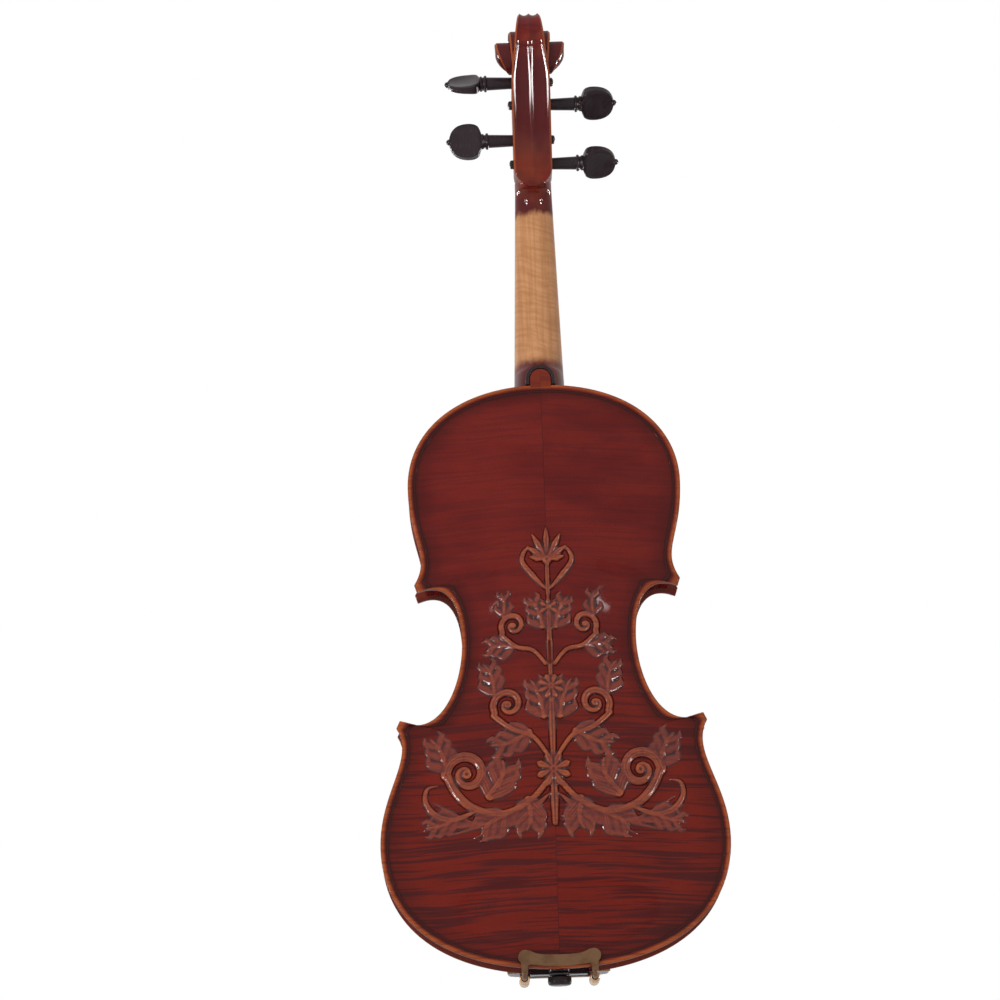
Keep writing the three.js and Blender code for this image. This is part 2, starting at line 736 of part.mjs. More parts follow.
// Body: ribs, linings and blocks
sides.forEach(([sideName, side]) => {
  ['upper', 'waist'].forEach((place) => {
    const shape = strip(ribRuns[place], rib.overhang, ribInner, side);
    put(`${place}_rib_${sideName}`, slab(shape, ribStartY, ribEndY), 'varnish');
  });
  Object.entries(liningRuns).forEach(([place, run]) => {
    const shape = strip(run, liningOuter, liningOuter + lining.thickness, side);
    put(`${place}_back_lining_${sideName}`, slab(shape, ribStartY, ribStartY + lining.height), 'innerWood');
    put(`${place}_belly_lining_${sideName}`, slab(shape, ribEndY - lining.height, ribEndY), 'innerWood');
  });
  const shares = blockReachShares;
  const upperBlock = [
    ...stripPoints([['side', shares.upperFrom, shares.upperTo]], liningOuter),
    ...stripPoints([['waistTop', shares.waistFrom, shares.waistTo]], liningOuter),
  ];
  const lowerBlock = [
    ...stripPoints([['waistEnd', 1 - shares.waistTo, 1 - shares.waistFrom]], liningOuter),
    ...stripPoints([['lowerSide', 1 - shares.upperTo, 1 - shares.upperFrom]], liningOuter),
  ];
  [['upper', upperBlock], ['lower', lowerBlock]].forEach(([place, points]) => {
    const cornerBlock = slab(shapeOf(mirrored(points, side)), ribStartY, ribEndY);
    put(`${place}_corner_block_${sideName}`, cornerBlock, 'innerWood');
  });
});

// The lower rib is one bent strip from corner to corner, bored for the end button
const bothSides = (points) => [...points, ...mirrored(points, -1).reverse().slice(1)];
const bored = (radius, fromZ, toZ) =>
  alongZ(rod(radius, fromZ, toZ, buttonSides)).translate(0, ribMiddleY, 0);
const lowerRibOuter = bothSides(stripPoints(ribRuns.lower, rib.overhang));
const lowerRibInner = bothSides(stripPoints(ribRuns.lower, ribInner)).reverse();
const lowerRib = slab(shapeOf([...lowerRibOuter, ...lowerRibInner]), ribStartY, ribEndY);
const buttonBore = bored(endButton.neckRadius + glueLine, -overrun, ribInner + block.endDepth + overrun);
put('lower_rib', cut(lowerRib, buttonBore), 'varnish');

// End block behind the lower rib, and the neck block with the mortise that takes the neck root
const endBlockFrom = shareWhere('bottom', liningOuter, (x) => x > block.endWidth / 2);
const endBlockRim = bothSides(stripPoints([['bottom', endBlockFrom, 1]], liningOuter));
const endBlockBackZ = liningOuter + block.endDepth;
const endBlockShape = shapeOf([
  [block.endWidth / 2, endBlockBackZ], ...endBlockRim, [-block.endWidth / 2, endBlockBackZ],
]);
put('end_block', cut(slab(endBlockShape, ribStartY, ribEndY), buttonBore), 'innerWood');

const neckBlockTo = shareWhere('top', liningOuter, (x) => x < block.neckWidth / 2);
const neckBlockRim = stripPoints([['top', 0, neckBlockTo]], liningOuter);
const neckBlockBackZ = body.length - liningOuter - block.neckDepth;
const neckBlockShape = shapeOf([
  ...mirrored(neckBlockRim, -1).reverse(), ...neckBlockRim.slice(1),
  [block.neckWidth / 2, neckBlockBackZ], [-block.neckWidth / 2, neckBlockBackZ],
]);
const rootZ = body.length - ribInner - neck.mortiseDepth;
const mortise = box(
  [-heelHalfWidth, ribStartY - overrun, rootZ - glueLine],
  [heelHalfWidth, bellyOuterY + overrun, body.length + overrun],
);
put('neck_block', cut(slab(neckBlockShape, ribStartY, ribEndY), mortise), 'innerWood');

// Back plate with its button, the dark crown let in round the button, and the inlaid edge strip
const ringPiece = (rings) => {
  const open = skinRings([...rings, rings[0]], false);
  return outward(mergeVertices(open, 1e-3));
};
const inlayRings = [
  ringAt(grooveFrom + glueLine, inlayTop),
  ringAt(grooveTo - glueLine, inlayTop),
  ringAt(grooveTo - glueLine, inlayTop - purfling.depth),
  ringAt(grooveFrom + glueLine, inlayTop - purfling.depth),
];
const inlayStrip = (level) =>
  ringPiece(inlayRings.map((ring) => ring.map(([x, z, height]) => [x, level(height), z])));

const buttonZ = body.length + neck.buttonRise;
const halfRound = (outerRadius, innerRadius, legZ) => {
  const shape = new THREE.Shape();
  shape.moveTo(outerRadius, legZ);
  shape.lineTo(outerRadius, buttonZ);
  shape.absarc(0, buttonZ, outerRadius, 0, Math.PI);
  shape.lineTo(-outerRadius, legZ);
  if (innerRadius > 0) {
    shape.lineTo(-innerRadius, legZ);
    shape.lineTo(-innerRadius, buttonZ);
    shape.absarc(0, buttonZ, innerRadius, Math.PI, 0, true);
    shape.lineTo(innerRadius, legZ);
  }
  const points = shape.getPoints(roundSteps).slice(0, -1);
  return slab(new THREE.Shape(points), 0, plate.edgeThickness);
};
const crownInner = neck.buttonRadius - neck.crownWidth;
const buttonPiece = halfRound(crownInner - glueLine, 0, body.length - plate.edgeRounding);
put('back_plate', join(archedPlate(plate.backArch, backLevel), buttonPiece), 'varnish');
put('back_purfling', inlayStrip(backLevel), 'purflingWood');
put('button_crown', halfRound(neck.buttonRadius, crownInner, body.length + glueLine), 'ebony');

// Belly plate with its sound holes, the notch for the neck and the notch for the saddle
const [soundHoleTopZ, soundHoleFootZ] = ['soundHoleTop', 'soundHoleFoot'].map(upBody);
const soundHoleStem = () => {
  const h = soundHole;
  const rise = soundHoleTopZ - soundHoleFootZ;
  const run = h.lowerEyeOffset - h.upperEyeOffset;
  const middle = stemShares.map(([across, down, width]) => ({
    x: h.upperEyeOffset + run * across,
    z: soundHoleTopZ - rise * down,
    half: (h.stemWidth * width) / 2,
  }));
  const curve = new THREE.CatmullRomCurve3(middle.map((m) => new THREE.Vector3(m.x, m.half, m.z)));
  const samples = curve.getPoints(stemSteps);
  const edge = (sign) =>
    samples.map((p, i) => {
      const along = curve.getTangent(i / stemSteps);
      const length = Math.hypot(along.x, along.z);
      return [p.x + (sign * p.y * along.z) / length, p.z - (sign * p.y * along.x) / length];
    });
  return [...edge(1), ...edge(-1).reverse()];
};
const throughBelly = (points, side) =>
  slab(shapeOf(mirrored(points, side)), bellyInnerY - overrun, bellyOuterY + plate.bellyArch);
const eye = (x, z, radius) =>
  Array.from({ length: eyeSides }, (_, i) => {
    const angle = (i / eyeSides) * fullTurn;
    return [x + radius * Math.cos(angle), z + radius * Math.sin(angle)];
  });
// Two small notches, one on each side of the stem, mark the bridge's line
const notches = () => {
  const x = lerp(soundHole.upperEyeOffset, soundHole.lowerEyeOffset, notchShares.across);
  const reach = soundHole.stemWidth / 2 + soundHole.notchDepth;
  const half = soundHole.notchHeight / 2;
  return [[x - reach, bridgeZ], [x, bridgeZ - half], [x + reach, bridgeZ], [x, bridgeZ + half]];
};
const soundHoles = sides.flatMap(([, side]) => [
  throughBelly(soundHoleStem(), side),
  throughBelly(notches(), side),
  throughBelly(eye(soundHole.upperEyeOffset, soundHoleTopZ, soundHole.upperEyeRadius), side),
  throughBelly(eye(soundHole.lowerEyeOffset, soundHoleFootZ, soundHole.lowerEyeRadius), side),
]);
const saddleNotch = box(
  [-saddle.width / 2 - glueLine, bellyInnerY - overrun, -overrun],
  [saddle.width / 2 + glueLine, bellyOuterY + saddle.height, saddle.depth + glueLine],
);
const bellyBlank = archedPlate(plate.bellyArch, bellyLevel);
put('belly_plate', cut(bellyBlank, ...soundHoles, mortise, saddleNotch), 'varnish');
const inlayCutters = [mortise, saddleNotch].map(toSolid);
const bellyInlay = inlayCutters.reduce((rest, tool) => rest.subtract(tool), toSolid(inlayStrip(bellyLevel)));
sides.forEach(([sideName, side]) => {
  const half = box([0, 0, -overrun], [body.lowerWidth, bellyOuterY + overrun, body.length + overrun]);
  const keep = side > 0 ? half : half.translate(-body.lowerWidth, 0, 0);
  put(`belly_purfling_${sideName}`, toGeometry(bellyInlay.intersect(toSolid(keep))), 'purflingWood');
});

// Bass bar and sound post
const barRings = Array.from({ length: barSteps + 1 }, (_, i) => {
  const z = lerp(bassBar.fromBottom, body.length - bassBar.fromTop, i / barSteps);
  const deep = lerp(bassBar.depth, bassBar.endDepth, ((2 * i) / barSteps - 1) ** 2);
  const edges = [bassBar.offset - bassBar.thickness / 2, bassBar.offset + bassBar.thickness / 2];
  const [y0, y1] = edges.map((x) => bellyUnder(x, z) - glueLine);
  return [[edges[0], y0, z], [edges[1], y1, z], [edges[1], y1 - deep, z], [edges[0], y0 - deep, z]];
});
put('bass_bar', outward(skinRings(barRings)), 'spruce');
const postZ = bridgeZ - soundPost.belowBridge - soundPost.radius;
const around = [-soundPost.radius, 0, soundPost.radius];
const postSpots = around.flatMap((dx) => around.map((dz) => [-soundPost.offset + dx, postZ + dz]));
const postFrom = Math.max(...postSpots.map(([x, z]) => backInside(x, z))) + glueLine;
const postTo = Math.min(...postSpots.map(([x, z]) => bellyUnder(x, z))) - glueLine;
const post = rod(soundPost.radius, postFrom, postTo, postSides);
put('sound_post', post.translate(-soundPost.offset, 0, postZ), 'spruce');

// Neck: sections across Z from the root in the neck block, over the heel and along the handle to the throat
const signedPower = (value, power) => Math.sign(value) * Math.abs(value) ** power;
const neckSection = ({ z, half, flat, backY }) => {
  const topY = neckTopY(z);
  return Array.from({ length: sectionSteps + 1 }, (_, i) => {
    const angle = (i / sectionSteps) * Math.PI;
    const across = (half - flat) * Math.cos(angle) + flat * signedPower(Math.cos(angle), heelSquareness);
    return [across, topY - (topY - backY) * Math.sin(angle) ** handleFullness, z];
  });
};
const neckHalf = (z) => boardWidth(nutZ - z) / 2;
const heelStations = () => {
  const inBlock = [rootZ, body.length].map((z) => [z, neck.buttonRadius, ribStartY]);
  const cap = capAngleShares.map((share) => {
    const angle = share * quarterTurn;
    return [buttonZ + neck.buttonRadius * Math.sin(angle), neck.buttonRadius * Math.cos(angle), ribStartY];
  });
  const capZ = buttonZ + neck.buttonRadius;
  const handleY = neckTopY(neck.heelEndZ) - neck.thicknessAtHeel;
  const sweep = sweepShares.map((share) => {
    const angle = share * quarterTurn;
    const z = lerp(capZ, neck.heelEndZ, 1 - Math.cos(angle));
    return [z, 0, lerp(ribStartY, handleY, Math.sin(angle))];
  });
  return [...inBlock, ...cap, ...sweep];
};
const throatStations = () => {
  const startY = neckTopY(neck.throatStartZ) - neck.thicknessAtNut;
  const sweep = sweepShares.map((share) => {
    const angle = share * quarterTurn;
    const z = lerp(neck.throatStartZ, chinZ, Math.sin(angle));
    return [z, 0, lerp(startY, pegbox.chinY, 1 - Math.cos(angle))];
  });
  return [[neck.throatStartZ, 0, startY], ...sweep, [chinZ + pegbox.cavityStart, 0, pegbox.chinY]];
};
const neckLoft = outward(skinRings([...heelStations(), ...throatStations()]
  .map(([z, flat, backY]) => neckSection({ z, half: neckHalf(z), flat, backY }))));

// Pegbox: sections across Z whose back face carries two flutes and the ridge between them
const pegboxFrontY = (z) => neckTopY(nutZ) - pegbox.frontSlope * (z - nutZ);
const voluteBackY = scroll.eyeY - scroll.rise * radiusShares[0];
const pegboxBackY = (z) => {
  const share = (z - chinZ) / (eyeZ - chinZ);
  return lerp(pegbox.chinY, voluteBackY, share) + pegbox.backBow * Math.sin(share * Math.PI);
};
const pegboxLoft = outward(skinRings(pegboxShares.map((share, i) => {
  const z = lerp(chinZ, eyeZ, share);
  const half = pegbox.width / 2;
  const backY = pegboxBackY(z);
  const frontY = lerp(pegboxFrontY(z), backY + pegbox.floor, frontFadeShares[i]);
  const dip = backY + (share > 0 ? pegbox.fluteDepth : 0);
  return [
    [-half, frontY, z], [half, frontY, z], [half, backY, z], [half / 2, dip, z],
    [0, backY, z], [-half / 2, dip, z], [-half, backY, z],
  ];
})));
const chinRound = () => {
  const half = pegbox.width / 2;
  const shape = new THREE.Shape();
  shape.moveTo(half, eyeZ + scroll.rise);
  shape.lineTo(-half, eyeZ + scroll.rise);
  shape.lineTo(-half, chinZ + half);
  shape.absarc(0, chinZ + half, half, Math.PI, fullTurn);
  return slab(new THREE.Shape(shape.getPoints(roundSteps).slice(0, -1)), -scroll.eyeWidth, body.length / 2);
};
const cavity = () => {
  const startZ = nutZ + pegbox.cavityStart;
  const floorY = (z) => pegboxBackY(z) + pegbox.floor;
  const side = [
    [startZ, pegboxFrontY(startZ) + overrun], [startZ, floorY(startZ)],
    [(startZ + cavityEndZ) / 2, floorY((startZ + cavityEndZ) / 2)],
    [cavityEndZ - pegbox.floor, floorY(cavityEndZ - pegbox.floor)],
    [cavityEndZ, pegboxFrontY(cavityEndZ) + overrun],
  ];
  const half = pegbox.width / 2 - pegbox.wall;
  const ring = (x) => side.map(([z, y]) => [x, y, z]);
  return outward(skinRings([ring(-half), ring(half)]));
};

// Scroll: a volute that starts at the pegbox's back, climbs over the top and winds in to the eye.
// The tables give its radius and half width at each quarter turn.
const turnSteps = voluteTurnSteps;
const quarterSteps = turnSteps / 4;
const voluteSteps = (radiusShares.length - 1) * quarterSteps;
const eased = (table, step) => {
  const at = step / quarterSteps;
  const low = Math.min(Math.floor(at), table.length - 2);
  return lerp(table[low], table[low + 1], at - low);
};
const volute = () => {
  const radius = (step) => scroll.rise * eased(radiusShares, step);
  const half = (step) => (scroll.eyeWidth / 2) * eased(widthShares, step);
  const points = [];
  const vertex = (step, r, x) => {
    const angle = (step / turnSteps) * fullTurn;
    points.push([x, scroll.eyeY - r * Math.cos(angle), eyeZ + r * Math.sin(angle)]);
    return points.length - 1;
  };
  const steps = Array.from({ length: voluteSteps + 1 }, (_, i) => i);
  const inner = steps.slice(0, voluteSteps - turnSteps + 1);
  const faces = [];
  const quad = (a, b, c, d) => faces.push([a, b, c], [a, c, d]);
  const flank = (sign) => {
    const edge = steps.map((i) => vertex(i, radius(i), sign * half(i)));
    const foot = inner.map((i) => vertex(i, radius(i + turnSteps), sign * (half(i) - scroll.wallFoot)));
    const dishHalf = (i) => half(i) - scroll.wallFoot - scroll.dishDepth;
    const dish = inner.map((i) => vertex(i, (radius(i) + radius(i + turnSteps)) / 2, sign * dishHalf(i)));
    const facing = (a, b, c, d) => (sign > 0 ? quad(a, b, c, d) : quad(d, c, b, a));
    inner.slice(1).forEach((i) => {
      facing(edge[i - 1], edge[i], dish[i], dish[i - 1]);
      facing(dish[i - 1], dish[i], foot[i], foot[i - 1]);
      facing(foot[i - 1], foot[i], edge[i + turnSteps], edge[i + turnSteps - 1]);
    });
    const last = voluteSteps;
    const first = last - turnSteps;
    const centre = vertex(0, 0, sign * ((half(first) + half(last)) / 2 + half(last) * eyeCrownShare));
    const fan = (a, b) => faces.push(sign > 0 ? [a, b, centre] : [b, a, centre]);
    steps.slice(first + 1).forEach((i) => fan(edge[i - 1], edge[i]));
    fan(edge[last], foot[first]);
    fan(foot[first], dish[first]);
    fan(dish[first], edge[first]);
    return { edge, foot, dish };
  };
  const right = flank(1);
  const left = flank(-1);
  const lane = (i, share) => vertex(i, radius(i) - (share === 0 ? 0 : scroll.fluteDepth), share * half(i));
  const laneShares = [1 / 2, 0, -1 / 2];
  const lanes = laneShares.map((share) => steps.slice(0, turnSteps + 1).map((i) => lane(i, share)));
  const across = [right.edge, ...lanes, left.edge];
  for (let i = 1; i <= turnSteps; i += 1) {
    across.slice(1).forEach((lower, k) => quad(across[k][i - 1], lower[i - 1], lower[i], across[k][i]));
  }
  const start = [...across.map((run) => run[0]), left.dish[0], left.foot[0]];
  const end = [...across.map((run) => run[turnSteps])].reverse();
  const closing = [...start, ...end, right.foot[0], right.dish[0]];
  const hub = vertex(0, (radius(0) + radius(turnSteps)) / 2, 0);
  closing.forEach((a, k) => faces.push([closing[(k + 1) % closing.length], a, hub]));
  return outward(meshOf(points, faces));
};

// Tapered peg bores through both cheeks, and the head stock from its pieces
const pegSpots = pegs.map((p) => {
  const z = nutZ + p.along;
  return { ...p, z, y: pegboxFrontY(z) - peg.belowFront };
});
const shankRadiusAt = (x) => peg.shankRadius - (peg.collarX - x) * peg.taper;
const pegBore = ({ side, y, z }) => {
  const [near, far] = [peg.collarX, -pegbox.width / 2 - overrun];
  const wide = [far, near].map((x) => [shankRadiusAt(x) + turningGap, x]);
  const profile = [[0, far], ...wide, [0, near]];
  const bore = alongX(turned(profile, pegSides));
  return (side > 0 ? bore : bore.rotateZ(Math.PI)).translate(0, y, z);
};
const pegboxBlank = toSolid(pegboxLoft).intersect(toSolid(chinRound()));
const headStock = toGeometry(toSolid(neckLoft).add(pegboxBlank).add(toSolid(volute())));
put('neck_and_scroll', cut(headStock, cavity(), ...pegSpots.map(pegBore)), 'varnish');

// Fingerboard and nut, laid out on the sloping top of the neck and then turned into place
const onNeck = (geometry) => geometry.rotateX(slope).translate(0, nutY, nutZ);
const crownShares = Array.from({ length: crownSteps + 1 }, (_, i) => 1 - (2 * i) / crownSteps);
const crownAt = (x, half, radius) => Math.sqrt(radius ** 2 - x ** 2) - Math.sqrt(radius ** 2 - half ** 2);
const boardTop = (x, half) => glueLine + fingerboard.edgeThickness + crownAt(x, half, fingerboard.radius);
const crownRing = (half, z, lift) =>
  crownShares.map((share) => [share * half, boardTop(share * half, half) + lift, z]);
const boardStations = [
  [0, 0], [neck.length, 0], [neck.length + fingerboard.edgeThickness, 1], [fingerboard.length, 1],
];
const board = skinRings(boardStations.map(([down, hollow]) => {
  const half = boardWidth(down) / 2;
  const under = underShares.map(([share, depth]) =>
    [share * half, glueLine + depth * hollow * fingerboard.hollowDepth, -down]);
  return [...crownRing(half, -down, 0), ...under];
}));
put('fingerboard', onNeck(outward(board)), 'ebony');

const nutHalf = neck.nutWidth / 2;
const nutStations = [
  [glueLine, nut.lift], [nut.thickness / 2, nut.lift],
  [nut.thickness, -nut.lift], [glueLine + nut.thickness, -fingerboard.edgeThickness / 2],
];
const nutBlank = onNeck(outward(skinRings(nutStations.map(([z, lift]) =>
  [...crownRing(nutHalf, z, lift), [-nutHalf, glueLine, z], [nutHalf, glueLine, z]]))));

// Bridge: a flat-backed blank thinned towards the top, with open sides, a heart and fitted feet
const bridgeFootY = bellyTop(0, bridgeZ) + glueLine;
const bridgeTopY = bridgeFootY + bridge.height;
const bridgeLine = (x) => bridgeTopY + crownAt(x, 0, bridge.topRadius);
const bridgeTop = Array.from({ length: crownSteps / 2 + 1 }, (_, i) => {
  const x = (i / (crownSteps / 2)) * (bridge.topWidth / 2);
  return [x, bridgeLine(x)];
});
const bridgePoints = (shares) =>
  shares.map(([x, y]) => [(x * bridge.footWidth) / 2, bridgeFootY + y * bridge.height]);
const bridgeHalf = [...bridgeTop, ...bridgePoints(bridgeEdgeShares)];
const bothHalves = (points) => [...points, ...mirrored(points, -1).reverse().slice(1, -1)];
const upright = (points, depth) =>
  new THREE.ExtrudeGeometry(shapeOf(bothHalves(points)), { depth, bevelEnabled: false });
const bridgeBackZ = bridgeZ - bridge.footThickness / 2;
const thinning = () => {
  const side = [
    [bridgeFootY - bridge.height, bridge.footThickness], [bridgeFootY, bridge.footThickness],
    [bridgeTopY + overrun, bridge.topThickness], [bridgeTopY + overrun, 0], [bridgeFootY - bridge.height, 0],
  ];
  const ring = (x) => side.map(([y, z]) => [x, y, bridgeBackZ + z]);
  return outward(skinRings([ring(-bridge.footWidth), ring(bridge.footWidth)]));
};
const heart = upright(bridgePoints(heartShares), bridge.footThickness + 2 * overrun)
  .translate(0, 0, bridgeBackZ - overrun);
const fittedTo = archedPlate(plate.bellyArch, (height) => bellyLevel(height) + glueLine);
const bridgeForm = upright(bridgeHalf, bridge.footThickness).translate(0, 0, bridgeBackZ);
const bridgeBlank = toGeometry(toSolid(bridgeForm).intersect(toSolid(thinning())));

// Tailpiece, laid out along its underside from the tail end and then tilted up towards the bridge
const tilt = THREE.MathUtils.degToRad(tailpiece.tiltDeg);
const onTail = (geometry) => geometry.rotateX(-tilt).translate(0, tailpiece.startY, tailpiece.startZ);
const tailPoint = ([x, y, z]) => [
  x,
  tailpiece.startY + y * Math.cos(tilt) + z * Math.sin(tilt),
  tailpiece.startZ - y * Math.sin(tilt) + z * Math.cos(tilt),
];
const fretAt = tailpiece.length - tailpiece.fretFromHead;
const ballAt = tailpiece.length - tailpiece.ballFromHead;
const tailHalf = (z) => lerp(tailpiece.endWidth, tailpiece.headWidth, z / tailpiece.length) / 2;
const tailTop = (x, z) => tailpiece.edgeThickness + crownAt(x, tailHalf(z), tailpiece.crownRadius);
const tailRings = tailEndShares.map(([share, narrow]) => {
  const z = share * tailpiece.length;
  const half = tailHalf(z) * narrow;
  return [
    ...crownShares.map((s) => [s * half, tailTop(s * half, z), z]),
    [-half, 0, z], [half, 0, z],
  ];
});
const fretRings = [-1, 1].map((end) => {
  const z = fretAt + (end * tailpiece.fretWidth) / 2;
  const half = tailHalf(fretAt) * fretWidthShare;
  const rise = tailpiece.fretRise;
  return [
    ...crownShares.map((s) => [s * half, tailTop(s * half, fretAt) + rise, z]),
    [-half, tailpiece.edgeThickness / 2, z], [half, tailpiece.edgeThickness / 2, z],
  ];
});
const tailForm = () => join(outward(skinRings(tailRings)), outward(skinRings(fretRings)));
const tailBlank = onTail(tailForm());

// Fine tuner of the e string: a bracket bedded on the tailpiece, a lever on its pin and a screw
const screwAt = tailpiece.length - tuner.screwFromHead;
const pinAt = tailpiece.length + tuner.pinBeyondHead;
const plateFrom = tailpiece.length - tuner.plateFromHead;
const plateTo = tailpiece.length - tuner.plateToHead;
const armFrom = tailpiece.length - tuner.armFromHead;
const tunerX = strings.find((s) => s.name === 'e').spread * stringing.atTail;
const tunerTop = tailTop(Math.abs(tunerX) - tuner.bodyWidth / 2, screwAt) + tuner.plateThickness;
const hookPoint = (x, z) => tailPoint([x, tunerTop - stringing.seat, z]);
const tunerBox = (fromX, toX, fromY, toY, fromZ, toZ) =>
  box([tunerX + fromX, fromY, fromZ], [tunerX + toX, toY, toZ]);
const [bodyHalf, leverHalf] = [tuner.bodyWidth / 2, tuner.leverWidth / 2];
const cheekStart = leverHalf + glueLine;
const onPin = (radius) =>
  alongX(rod(radius, -bodyHalf, bodyHalf, pinSides)).translate(tunerX, tuner.pinY, pinAt);
const upRod = (radius, fromY, toY) => rod(radius, fromY, toY, pinSides).translate(tunerX, 0, screwAt);
const [cheekFromY, cheekToZ] = [tuner.pinY - tuner.cheek, pinAt + tuner.cheek];
const bracketPieces = [
  tunerBox(-bodyHalf, bodyHalf, 0, tunerTop, plateFrom, plateTo),
  tunerBox(-bodyHalf, -cheekStart, cheekFromY, tunerTop, plateTo - overrun, cheekToZ),
  tunerBox(cheekStart, bodyHalf, cheekFromY, tunerTop, plateTo - overrun, cheekToZ),
  onPin(tuner.pinRadius),
  upRod(tuner.bossRadius, tunerTop - overrun, tunerTop + tuner.bossHeight),
];
const tailLifted = tailForm().translate(0, glueLine, 0);
const tailEndTop = tailTop(tunerX, tailpiece.length) + glueLine;
const tailEndWall = tunerBox(-tuner.bodyWidth, tuner.bodyWidth, -tuner.bodyWidth, tailEndTop,
  0, tailpiece.length + glueLine);
const screwHole = upRod(tuner.screwRadius + turningGap, -overrun, tunerTop + tuner.bossHeight + overrun);
put('tuner_bracket', onTail(cut(join(...bracketPieces), tailLifted, tailEndWall, screwHole)), 'steel');
const tunerBore = onTail(upRod(tuner.screwRadius + 2 * turningGap, -overrun, tunerTop + overrun));
const hookFrom = pinAt - tuner.armWidth / 2;
const leverShape = shapeOf([
  [-tuner.armGap, armFrom], [-tuner.armGap - tuner.armWidth, armFrom],
  [-tuner.armGap - tuner.armWidth, pinAt + tuner.armWidth / 2],
  [tunerTop, pinAt + tuner.armWidth / 2], [tunerTop, hookFrom], [-tuner.armGap, hookFrom],
]);
const leverBlank = slab(leverShape, -leverHalf, leverHalf).rotateZ(quarterTurn).translate(tunerX, 0, 0);

// Strings: each runs from its ball end over the tailpiece's fret, the bridge and the nut to its peg
const nutPoint = (x, z) => {
  const local = boardTop(x, nutHalf) + nut.lift + stringing.seat;
  return [
    x,
    nutY + local * Math.cos(slope) - z * Math.sin(slope),
    nutZ + local * Math.sin(slope) + z * Math.cos(slope),
  ];
};
const bridgeMidZ = bridgeBackZ + bridge.topThickness / 2;
const bridgePoint = (x, z) => [x, bridgeLine(x) + stringing.seat, z];
const ballPoint = (x) => tailPoint([x, tailTop(x, ballAt) - tailpiece.ballDepth, ballAt]);
const fretPoint = (x) =>
  tailPoint([x, tailTop(x, fretAt) + tailpiece.fretRise + stringing.seat, fretAt]);
const windingRadius = (string, x, side) => shankRadiusAt(x * side) + winding.seat + string.radius;
const tangentAngle = ([, fromY, fromZ], { y, z }, radius) => {
  const [dy, dz] = [fromY - y, fromZ - z];
  return Math.atan2(dz, dy) + Math.acos(radius / Math.hypot(dy, dz));
};
const onPeg = ({ y, z }, x, radius, angle) =>
  [x, y + radius * Math.cos(angle), z + radius * Math.sin(angle)];
const runs = strings.map((string) => {
  const spot = pegSpots.find((p) => p.name === string.name);
  const isFine = string.name === 'e';
  const start = isFine ? pinAt - tuner.ballBehind : ballAt;
  const tailX = string.spread * stringing.atTail;
  const nutEnd = nutPoint(string.spread * stringing.atNut, nut.thickness / 2);
  const x = spot.side * spot.offset;
  const radius = windingRadius(string, x, spot.side);
  const angle = tangentAngle(nutEnd, spot, radius);
  const first = isFine ? hookPoint(tailX, start) : ballPoint(tailX);
  const over = isFine ? hookPoint(tailX, pinAt) : fretPoint(tailX);
  const bridgeX = string.spread * stringing.atBridge;
  return {
    string, spot, angle, first,
    path: [over, bridgePoint(bridgeX, bridgeMidZ), nutEnd],
    last: onPeg(spot, x, radius, angle),
  };
});

// A cord whose cross sections all lie level: each section is [centre, radius]
const cord = (sections, sides) =>
  outward(skinRings(sections.map(([[x, y, z], radius]) =>
    Array.from({ length: sides }, (_, i) => {
      const angle = (i / sides) * fullTurn;
      return [x + radius * Math.cos(angle), y + radius * Math.sin(angle), z];
    }))));
const stringSections = ({ string, first, path, last }) => {
  const ball = ballShares.map(([at, wide]) =>
    [[first[0], first[1], first[2] + at * stringing.ballRadius], wide * stringing.ballRadius]);
  return [...ball, ...[...path, last].map((p) => [p, string.radius])];
};
runs.forEach((run) =>
  put(`string_${run.string.name}`, cord(stringSections(run), stringSides), run.string.look));

// Grooves let the strings into the nut and the bridge; slots and holes take them into the tailpiece
const grooves = runs.map(({ string, path, last }) =>
  cord([...path, last].map((p) => [p, string.radius + glueLine]), grooveSides));
put('nut', cut(nutBlank, ...grooves), 'ebony');
put('bridge', cut(bridgeBlank, heart, fittedTo, ...grooves), 'bridgeMaple');
const across = (radius, x, fromY, toY, z) =>
  onTail(rod(radius, fromY, toY, pinSides).translate(x, 0, z));
const slots = runs.filter(({ string }) => string.name !== 'e').flatMap(({ string }) => {
  const x = string.spread * stringing.atTail;
  const half = string.radius + glueLine;
  const top = tailTop(x, ballAt);
  return [
    across(stringing.ballRadius + 2 * glueLine, x, -overrun, top + overrun, ballAt),
    onTail(box(
      [x - half, top - tailpiece.ballDepth - half, ballAt],
      [x + half, top + overrun, fretAt - tailpiece.fretWidth / 2],
    )),
  ];
});

// Tail gut: one loop from the tailpiece, over the saddle and round the end button's groove
const gutZ = rib.overhang - glueLine - endButton.collarLength - endButton.grooveLength / 2;
const gutTurn = endButton.grooveRadius + glueLine + tailGut.radius;
const saddleTopY = bellyOuterY + saddle.height;
const gutRise = saddleTopY + glueLine + tailGut.radius;
const gutHalf = [
  tailPoint([tailGut.spread, tailpiece.edgeThickness / 2, tailGut.reach]),
  tailPoint([tailGut.spread, tailpiece.edgeThickness / 2, tailGut.radius]),
  ...saddleCordShares.map((share) => [tailGut.spread, gutRise, share * saddle.depth]),
  [tailGut.spread, gutRise - tailGut.radius, -tailGut.radius],
  [tailGut.spread, saddleTopY - (3 / 2) * tailGut.radius, gutZ],
  [lerp(tailGut.spread, gutTurn, 1 / 2), bellyInnerY, gutZ],
  [gutTurn, lerp(bellyInnerY, ribMiddleY, 2 / 3), gutZ],
];
const gutLoop = Array.from({ length: roundSteps + 1 }, (_, i) => {
  const angle = (i / roundSteps) * Math.PI;
  return [gutTurn * Math.cos(angle), ribMiddleY - gutTurn * Math.sin(angle), gutZ];
});
